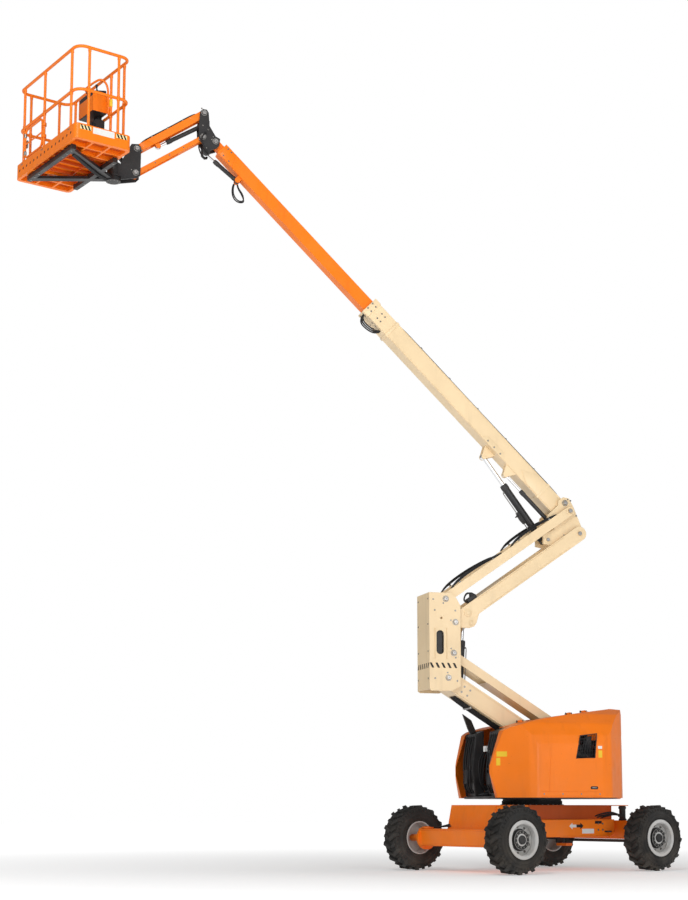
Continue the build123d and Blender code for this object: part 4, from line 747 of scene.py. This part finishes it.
def dress_boom():
    def on(*spots):
        """(x, y, z) of (along, above, y) points."""
        return [(x, y, z) for along, above, y in spots for x, z in (on_boom(along, above),)]

    def side_view(*spots):
        return [on_boom(*spot) for spot in spots]

    collar = slewing("boom_collar", "boom_base", CREAM, 0.003)
    for first, last in ((3.6, 3.7), (3.24, 3.28), (0.3, 0.34)):
        for low, high, near, far in ((0.1175, 0.1275, -0.115, 0.115), (-0.1275, -0.1175, -0.115, 0.115),
                                     (-0.1275, 0.1275, 0.1075, 0.116), (-0.1275, 0.1275, -0.116, -0.1075)):
            collar.plate(side_view((first, low), (last, low), (last, high), (first, high)), near, far)

    doublers = slewing("boom_doublers", "boom_base", CREAM, 0.002)
    for _, near, far in flanks(0.1075, 0.1145):
        doublers.plate(
            side_view((0.05, -0.1), (0.55, -0.1), (0.72, -0.02), (0.55, 0.09), (0.05, 0.09)), near, far)
        doublers.plate(side_view((0.98, -0.115), (1.42, -0.115), (1.34, -0.035), (1.06, -0.035)), near, far)

    bolts = slewing("pad_bolts", "boom_base", ZINC)
    for spots, y in ((((3.62, 0.045), (3.62, -0.045), (3.68, 0.045), (3.68, -0.045)), 0.116),
                     (((3.5, 0.045), (3.5, -0.045), (3.44, 0.045), (3.44, -0.045)), 0.1075),
                     (((1.08, -0.085), (1.2, -0.085), (1.32, -0.085)), 0.1145)):
        bolts.bolts(side_view(*spots), y, 0.009)
    up = Vector((-math.sin(math.radians(BOOM_ANGLE)), 0, math.cos(math.radians(BOOM_ANGLE))))
    for alongs, above, out, radius in (
            ((3.63, 3.67), 0.1275, 0.06, 0.009), ((3.44, 3.5), 0.1175, 0.05, 0.008)):
        for along in alongs:
            for y in (-out, out):
                for way in (1, -1):
                    bolts.bolt(on((along, way * above, y))[0], up * way, radius)
    slewing("boom_seams", "boom_base", CREAM).seams(side_view, 0.36, 3.22, 0.108, 0.1085, 0.004)
    hoses = slewing("boom_hoses", "boom_base", HOSE)
    for n in range(3):
        d, y = 0.012 * n, 0.05 - 0.03 * n
        hoses.tube(on((3.35, -0.1175, y), (3.4, -0.165 - d, y + 0.005), (3.52, -0.2 - d, y + 0.01),
                      (3.62, -0.19 - d, y + 0.005), (3.66, -0.1275, y)), 0.01, smooth=3)
    for n in range(4):
        y = 0.078 - 0.016 * n
        hoses.tube(on((0.12, 0.118, y), (0.2, 0.133, y), (1.0, 0.129, y + 0.004), (1.8, 0.129, y - 0.003),
                      (2.6, 0.129, y + 0.003), (3.15, 0.129, y), (3.2, 0.118, y)), 0.0075, smooth=2)
    clips = slewing("boom_clips", "boom_base", ZINC, 0.0015)
    for a in (0.6, 1.15, 1.7, 2.25, 2.8):
        clips.plate(side_view((a, 0.1175), (a + 0.025, 0.1175), (a + 0.025, 0.141), (a, 0.141)), 0.016, 0.092)

    slewing("fly_seams", "boom_fly", ORANGE).seams(side_view, 6.08, 6.3, 0.077, 0.0752, 0.0035)
    head = slewing("fly_head_plates", "boom_fly", ORANGE, 0.002)
    for _, near, far in flanks(0.0752, 0.08):
        head.plate(side_view((6.22, -0.08), (6.45, -0.08), (6.45, 0.08), (6.3, 0.08)), near, far)
    slewing("fly_bolts", "boom_fly", ZINC).bolts(
        side_view((6.3, -0.055), (6.4, -0.055), (6.36, 0.055), (6.42, 0.055)), 0.08, 0.008)
    # the loops hang from the slave cylinder's foot, clear of the base when the fly is in
    loops = slewing("fly_hoses", "boom_fly", HOSE)
    for n in range(2):
        d, y = 0.014 * n, -0.052 - 0.02 * n
        loops.tube(on((6.03, -0.125, y), (5.98, -0.16, y), (5.87 - d, -0.175 - d, y), (5.8 - d, -0.235, y),
                      (5.86, -0.292 - d, y), (5.96, -0.275 - d, y), (6.04 + d, -0.19, y), (6.06, -0.125, y)),
                   0.0085, smooth=3)


def dress_cylinders():
    """Glands at each barrel's mouth and foot; a pipe on the two large ones."""
    for name, foot, eye, y, closed, radius, rod in (
            ("tower", ahead(LOW_D, TOWER_ANGLE, -0.27), ahead(UP_B, UPPER_ANGLE, 0.23), 0.0, 0.7, 0.048,
            0.026), ("lift", LIFT_FOOT, on_boom(1.197, -0.228), -0.04, 0.975, 0.048, 0.026),
            ("level", LEVEL_FOOT, on_boom(0.832, -0.218), 0.062, 0.62, 0.027, 0.014), ("slave", on_boom(
            6.05, -0.13), ahead(FLY_TIP, -52.5, 0.19), 0.0, 0.43, 0.027, 0.014), ("jib", (JIB_J1[0] + 0.01,
            JIB_J1[1] - 0.145), ahead(JIB_J1, JIB_ANGLE, 0.76, -0.085), 0.0, 0.59, 0.028, 0.016),):
        large = radius > 0.04
        way = Vector((eye[0] - foot[0], 0, eye[1] - foot[1])).normalized()
        start = Vector((foot[0], y, foot[1]))
        boss = (0.025 if large else 0.02) + 0.014
        mouth = closed - boss - 0.008
        gland = slewing(f"{name}_gland", f"{name}_barrel", CAST)
        gland.lathe([(radius + r, mouth + a) for r, a in
                     ((0, -0.075), (0.004, -0.072), (0.004, -0.02), (0.001, -0.016), (0.001, -0.004),
                      (-0.003, 0.001))] +
                    [(rod + r, mouth + a) for r, a in ((0.003, 0.001), (0.0012, 0.004), (0.0012, -0.01))],
                    start, way, 36)
        gland.lathe([(radius + r, boss + a) for r,
            a in ((0, 0.012), (0.003, 0.014), (0.003, 0.03), (0, 0.034))], start, way, 36)
        if not large:
            continue
        pipe = slewing(f"{name}_pipe", f"{name}_barrel", ZINC)
        below = way.cross(Vector((0, 1, 0) if y >= 0 else (0, -1, 0))).normalized()
        if below.z > 0:
            below = -below
        low, high = start + way * (boss + 0.06), start + way * (mouth - 0.09)
        near, out, far = below * radius * 0.98, below * (radius + 0.022), below * (radius + 0.024)
        pipe.tube([low + near, low + out, low + way * 0.05 + far, high - way * 0.05 + far, high + out,
                   high + near], 0.007, smooth=2)
        for end in (low, high):
            pipe.lathe(disc(0.012, 0.02), end + below * radius * 0.96, below, 6)
        if name == "lift":
            valve = slewing("lift_valve", "lift_barrel", CAST, 0.003)
            corners = [start + way * a + below * r for a, r in
                       ((0.34, 0.044), (0.52, 0.044), (0.52, 0.076), (0.42, 0.088), (0.34, 0.076))]
            valve.plate([(c.x, c.z) for c in corners], y - 0.034, y + 0.034)
            valve.lathe([(0.014, 0), (0.014, 0.03), (0.008, 0.034), (0.008, 0.05), (0, 0.05)],
                        start + way * 0.48 + below * 0.074, below, 12)


# --- jib


def dress_jib():
    tip = [(FLY_TIP[0] + dx, FLY_TIP[1] + dz) for dx,
        dz in ((0.1, 0.15), (0.17, 0.2), (0.05, 0.02), (0.12, -0.1))]
    slewing("bracket_bolts", "jib_inner_bracket", ZINC).bolts(tip, 0.08, 0.007)
    loops = slewing("bracket_hoses", "jib_inner_bracket", HOSE)
    for side in (1, -1):
        for n in range(2):
            loops.tube([(FLY_TIP[0] + dx, side * (0.088 + 0.01 * n + out), FLY_TIP[1] + dz) for dx, out, dz in
                        ((0.13, 0, 0.11), (0.2, 0.02, 0.02), (0.16, 0.02, -0.12), (0.1, 0, -0.17))],
                       0.0075, smooth=3)

    beam = bars(JIB_J1, JIB_ANGLE)
    caps = slewing("jib_beam_caps", "jib_beam", ORANGE, 0.002)
    for _, near, far in flanks(0.054, 0.0585):
        caps.plate(beam((0.8, -0.046), (0.975, -0.046), (0.975, 0.046), (0.86, 0.046)), near, far)
        caps.plate(beam((0.06, -0.046), (0.16, -0.046), (0.22, 0.046), (0.06, 0.046)), near, far)
    hoses = slewing("jib_hoses", "jib_beam", HOSE)
    for n in range(3):
        hoses.tube(at_y(beam((0.09, 0.047), (0.14, 0.064), (0.5, 0.059), (0.88, 0.064), (0.95, 0.047)),
                        -0.03 + 0.03 * n), 0.008, smooth=3)
    clips = slewing("jib_clips", "jib_beam", ZINC, 0.0015)
    for a in (0.28, 0.52, 0.76):
        clips.plate(beam((a, 0.047), (a + 0.02, 0.047), (a + 0.02, 0.07), (a, 0.07)), -0.045, 0.045)
    slewing("jib_link_bolts", "jib_link", ZINC).bolts(
        bars(JIB_J2, JIB_ANGLE)((0.3,), (0.52,), (0.74,)), 0.054, 0.007)

    outer = slewing("rotator_details", "jib_outer_bracket", CAST)
    x = ROTATOR_X
    for z in (8.8, 8.955):
        outer.lathe(sleeve(0.0855, 0.094, 0, 0.02), (x, 0, z), UP, 40)
    outer.bolt_circle(10, 0.062, (x, 8.98), UP, 0.007)
    slewing("rotator_motor", "jib_outer_bracket", CAST, 0.004).lathe(
        [(0.038, 0), (0.038, 0.04), (0.03, 0.05), (0.03, 0.085), (0, 0.085)], (x, 0, 8.978), UP, 24)
    feeds = slewing("rotator_hoses", "jib_outer_bracket", HOSE)
    for n in range(4):
        y = -0.045 + 0.03 * n
        feeds.tube([(JIB_O2[0] + 0.16, y, 8.967), (JIB_O2[0] + 0.17, y, 9.03 + 0.01 * n),
                    (x - 0.06, y * 0.7, 9.07 + 0.008 * n), (x - 0.02, y * 0.5, 9.03), (x, y * 0.4, 8.99)],
                   0.0075, smooth=3)


# --- platform


def dress_platform():
    def piece(name, material, bevel=0.0, body="platform"):
        return Piece(name, body, material, bevel, PLATFORM)

    toe_low, toe_high = PLAT_Z, PLAT_Z + 0.185
    middle = (PLAT_NEAR + PLAT_FAR) / 2

    # hazard stripes at both ends of each short toe board, with a blank plate between them
    pale, black, white = piece("toe_grounds", STRIPE), piece("toe_stripes", DARK), piece("toe_plates", WHITE)
    low, high = toe_high - 0.066, toe_high - 0.012
    for side, near, far in flanks(0.8601, 0.8608):
        ground, front = sorted((side * 0.8598, side * 0.8604))
        for x0 in (PLAT_NEAR + 0.062, PLAT_FAR - 0.062 - 0.15):
            pale.box((x0, ground, low), (x0 + 0.15, front, high))
            for n in range(3):
                a = x0 + 0.004 + 0.046 * n
                black.plate([(a, low), (a + 0.024, low), (a + 0.05, high), (a + 0.026, high)], near, far)
        ground, front = sorted((side * 0.8598, side * 0.8606))
        white.box((middle - 0.145, ground, toe_high - 0.088), (middle + 0.145, front, toe_high - 0.008))

    # dark discs in orange rims for the toe boards' holes: the dark inside each hole is painted shade
    holes, rims = piece("toe_hole_painted_shade", DARK), piece("toe_hole_rims", ORANGE)
    for x, out in ((PLAT_FAR, 1), (PLAT_NEAR, -1)):
        for n in range(15):
            spot = (x, -0.735 + 0.105 * n, (toe_low + toe_high) / 2)
            holes.lathe([(0.019, 0.0004), (0.019, 0.0009), (0, 0.0009)], spot, (out, 0, 0), 14)
            rims.lathe(
                [(0.03, 0.0002), (0.027, 0.0032), (0.02, 0.0032), (0.018, 0.0004)], spot, (out, 0, 0), 16)

    lips = piece("toe_lips", ORANGE)
    corner = PLAT_HALF - 0.06
    for z, r in ((toe_high, 0.007), (toe_low + 0.006, 0.006)):
        path = []
        for cx, cy, start in ((PLAT_FAR - 0.06, corner, 0), (PLAT_NEAR + 0.06, corner, 90),
                              (PLAT_NEAR + 0.06, -corner, 180), (PLAT_FAR - 0.06, -corner, 270)):
            for k in range(7):
                a = math.radians(start + 15 * k)
                path.append((cx + 0.0535 * math.cos(a), cy + 0.0535 * math.sin(a), z))
        lips.tube(path, r, closed=True)

    # pressed panels set between the ribs under both ends, and joists under the middle, in darker orange as
    # painted shade on the platform's underside
    pans, joists = piece("floor_pans", PAINTED_SHADE_ORANGE, 0.004), piece("floor_joists", PAINTED_SHADE_ORANGE, 0.003)
    wide = (0.76 - 0.06) / 3
    for side in (1, -1):
        for i in (-1, 0, 1):
            for j in (-1, 1):
                cx, cy = middle + wide * i, side * (PLAT_HALF - 0.245) + 0.1025 * j
                pans.box((cx - wide / 2 + 0.024, cy - 0.08, PLAT_Z + 0.05),
                         (cx + wide / 2 - 0.024, cy + 0.08, PLAT_Z + 0.0572))
    for y in (-0.32, -0.16, 0.0, 0.16, 0.32):
        joists.box(
            (PLAT_NEAR + 0.03, y - 0.006, PLAT_Z + 0.012), (PLAT_FAR - 0.03, y + 0.006, PLAT_Z + 0.058))
    for x in (0.42, 0.74):
        joists.box((x - 0.006, -0.38, PLAT_Z + 0.02), (x + 0.006, 0.38, PLAT_Z + 0.058))

    # the floor's tread: raised rims in rows
    tread = piece("floor_treads", CAST)
    for i in range(9):
        for j in range(20):
            tread.lathe([(0.016, 0), (0.013, 0.004), (0.01, 0.004), (0.009, 0.0005)],
                        (PLAT_NEAR + 0.075 + 0.076 * i, -0.79 + 0.083 * j, DECK_TOP), UP, 10)

    # post feet, sleeves where the rails cross, and bolts
    feet, sleeves = piece("post_feet", ORANGE, 0.0015), piece("rail_sleeves", ORANGE)
    bolts = piece("post_bolts", ZINC)
    for x, y in ((0.223, -0.68), (0.223, -0.2), (0.223, 0.33), (0.223, 0.68), (0.38, 0.837), (0.78, 0.837),
                 (0.937, 0.68), (0.937, -0.08), (0.937, -0.68), (0.78, -0.837), (0.38, -0.837)):
        feet.box((x - 0.022, y - 0.022, toe_high + 0.0005), (x + 0.022, y + 0.022, toe_high + 0.008))
        sleeves.lathe(sleeve(0.0175, 0.0215, -0.034, 0.034), (x, y, RAIL_MID),
                      UP, 16)
        sleeves.lathe(sleeve(0.0175, 0.0205, -0.052, -0.016),
                      (x, y, RAIL_TOP), UP, 16)
        if abs(y) < 0.8:  # the posts on the long sides are bolted through the toe board
            board, out = (PLAT_NEAR, -1) if x < 0.5 else (PLAT_FAR, 1)
            for across in (out, -out):
                spot = Vector((board, y, toe_high - 0.03)) + Vector((0, across * 0.016, 0))
                bolts.bolt(spot, (out, 0, 0), 0.007)

    # curved guard over the console, with its two feet on the rails
    piece("console_guard", ORANGE).tube(
        [(0.245, -0.17, RAIL_MID + 0.01), (0.252, -0.17, 9.7), (0.262, -0.165, 9.86), (0.34, -0.15, 9.93),
         (0.4, -0.06, 9.9), (0.43, 0.07, 9.87), (0.4, 0.2, 9.9), (0.34, 0.29, 9.93), (0.262, 0.305, 9.86),
         (0.252, 0.31, 9.7), (0.245, 0.31, RAIL_MID + 0.01)], 0.014, 12, smooth=3)

    console = piece("console_shell", ORANGE, 0.006)
    console.box((0.236, -0.126, 9.5), (0.446, -0.1205, 9.758))
    console.box((0.236, 0.2605, 9.5), (0.446, 0.266, 9.758))
    console.box((0.4405, -0.126, 9.5), (0.446, 0.266, 9.7))
    piece("console_face", PLASTIC, 0.004).plate(
        [(0.25, 9.755), (0.438, 9.755), (0.438, 9.768), (0.262, 9.806), (0.25, 9.8)], -0.112, 0.252)
    knobs = piece("console_knobs", PLASTIC)
    for y in (-0.06, 0.19):
        knobs.lathe([(0.03, -0.005), (0.024, 0.01), (0.012, 0.018), (0.008, 0.06), (0.014, 0.07),
            (0.018, 0.085), (0.014, 0.1), (0, 0.104)], (0.35, y, 9.782), (0.1, 0, 1), 18)
    for n in range(5):
        knobs.lathe([(0.009, -0.004), (0.009, 0.01), (0.004, 0.012), (0.003, 0.026), (0, 0.027)],
                    (0.3, -0.01 + 0.035 * n, 9.796), (0.1, 0, 1), 10)
    for n in range(3):
        knobs.lathe(
            [(0.008, -0.004), (0.008, 0.008), (0, 0.01)], (0.4, 0.02 + 0.04 * n, 9.775), (0.2, 0, 1), 12)
    piece("stop_button", STOP_RED).lathe(
        [(0.01, -0.006), (0.01, 0.008), (0.018, 0.01), (0.018, 0.02), (0.013, 0.026), (0, 0.027)],
        (0.385, -0.085, 9.78), (0.2, 0, 1), 20)
    piece("console_lower_trim", PLASTIC, 0.005).box((0.26, -0.045, 9.04), (0.372, 0.185, 9.38))

    strap = piece("yellow_strap", YELLOW, 0.003)
    strap.box((0.372, 0.1, 9.06), (0.38, 0.145, 9.3))
    strap.lathe(sleeve(0.016, 0.022, -0.05, 0.05, 0.005), (0.223, 0.33, 9.62), UP, 14)

    cables = piece("console_cables", HOSE)
    for n in range(4):
        y = 0.03 + 0.028 * n
        cables.tube([(0.3, y, 9.5), (0.315 + 0.01 * n, y + 0.005, 9.44), (0.39, y - 0.006 * n, 9.35),
                     (0.4, y, 9.16), (0.33, y, 9.02), (0.3, y, 8.905)], 0.007, smooth=3)

    # under the floor: the support's bolts, and hoses along its arm
    under = piece("support_bolts", ZINC)
    for side in (1, -1):
        for x, y in ((0.872, 0.58), (0.872, 0.46), (0.872, 0.34), (0.26, 0.5), (0.26, 0.3)):
            under.bolt((x, side * y, SUPPORT_UNDER), (0, 0, -1), 0.01)
    under.bolt_circle(10, 0.075, (0, 8.74), (0, 0, -1), 0.007)
    hoses = piece("support_hoses", HOSE)
    for n in range(3):
        hoses.tube([(x, y + 0.02 * n, z) for x, y, z in
                    ((0.1, -0.02, 8.748), (0.24, 0.05, 8.74), (0.4, 0.17, 8.738), (0.62, 0.33, 8.742),
                     (0.8, 0.46, 8.748))], 0.008, smooth=3)

    latch = piece("gate_latch", ZINC, 0.002, "gate")
    middle, end = (toe_high + 0.04 + RAIL_MID - 0.019 - 0.025) / 2, -PLAT_HALF + 0.22
    for z in (middle - 0.12, middle + 0.12):
        latch.lathe(sleeve(0.0145, 0.019, -0.03, 0.03), (0.937, end, z), UP, 16)
    latch.box((0.918, end + 0.01, middle - 0.05), (0.93, end + 0.05, middle + 0.05))
    piece("gate_bar", ORANGE, 0.0, "gate").tube([(0.937, GATE_NEAR, middle), (0.937, end, middle)], 0.01, 10)


for dress in (dress_wheels, dress_chassis, dress_turntable, dress_hoods, dress_pins, dress_tower, dress_boom,
              dress_cylinders, dress_jib, dress_platform):
    dress()
for made in Piece.begun:
    made.done()

# --- stage, light and camera

ground = bpy.data.meshes.new("floor")
grid = bmesh.new()
bmesh.ops.create_grid(grid, x_segments=2, y_segments=2, size=60)
grid.to_mesh(ground)
grid.free()
floor = bpy.data.objects.new("floor", ground)
scene = bpy.context.scene
scene.collection.objects.link(floor)
floor_look = surface("pale_floor", (0.8, 0.8, 0.8), 0.95, variation=0.004, rough_spread=0.02)
# glows more far away, so that the floor runs into the white backdrop
tree = floor_look.node_tree
glow = tree.nodes["Principled BSDF"]
glow.inputs["Emission Color"].default_value = (1, 1, 1, 1)
spot = node(tree, "TexCoord").outputs["Object"]
away = node(tree, "VectorMath", links={0: spot}, operation="LENGTH").outputs["Value"]
tree.links.new(remap(tree, away, 2.5, 14.0, 0.3, 0.8), glow.inputs["Emission Strength"])
ground.materials.append(floor_look)

# the backdrop is white to the camera and lights the machine more softly
world = bpy.data.worlds.new("studio")
world.use_nodes = True
tree = world.node_tree
backdrop = tree.nodes["Background"]
backdrop.inputs["Color"].default_value = (1, 1, 1, 1)
seen = remap(tree, node(tree, "LightPath").outputs["Is Camera Ray"], 0.0, 1.0, 0.3, 1.0)
tree.links.new(seen, backdrop.inputs["Strength"])
scene.world = world
scene.view_settings.view_transform = "Standard"
scene.view_settings.look = "None"

for name, place, aim, size, power in (
    ("key", (13.0, 9.0, 13.0), (1.5, 0.5, 4.0), 7.0, 1080.0),
    ("front", (4.0, 17.0, 5.0), (1.5, 0.0, 4.5), 8.0, 640.0),
    ("side", (-12.0, 8.0, 9.0), (0.5, 0.0, 4.0), 8.0, 300.0),
):
    lamp = bpy.data.lights.new(name, "AREA")
    lamp.size, lamp.energy = size, power
    lit = bpy.data.objects.new(name, lamp)
    lit.location = place
    lit.rotation_euler = (Vector(aim) - Vector(place)).to_track_quat("-Z", "Y").to_euler()
    scene.collection.objects.link(lit)

lens = bpy.data.cameras.new("camera")
lens.lens, lens.sensor_width, lens.sensor_fit = 65.52, 36.0, "AUTO"
lens.shift_y = 0.15
lens.clip_end = 300.0
camera = bpy.data.objects.new("camera", lens)
camera.location = (14.487, 16.154, 0.8)
camera.rotation_euler = (math.radians(97.758), 0, math.radians(144.603))
scene.collection.objects.link(camera)
scene.camera = camera
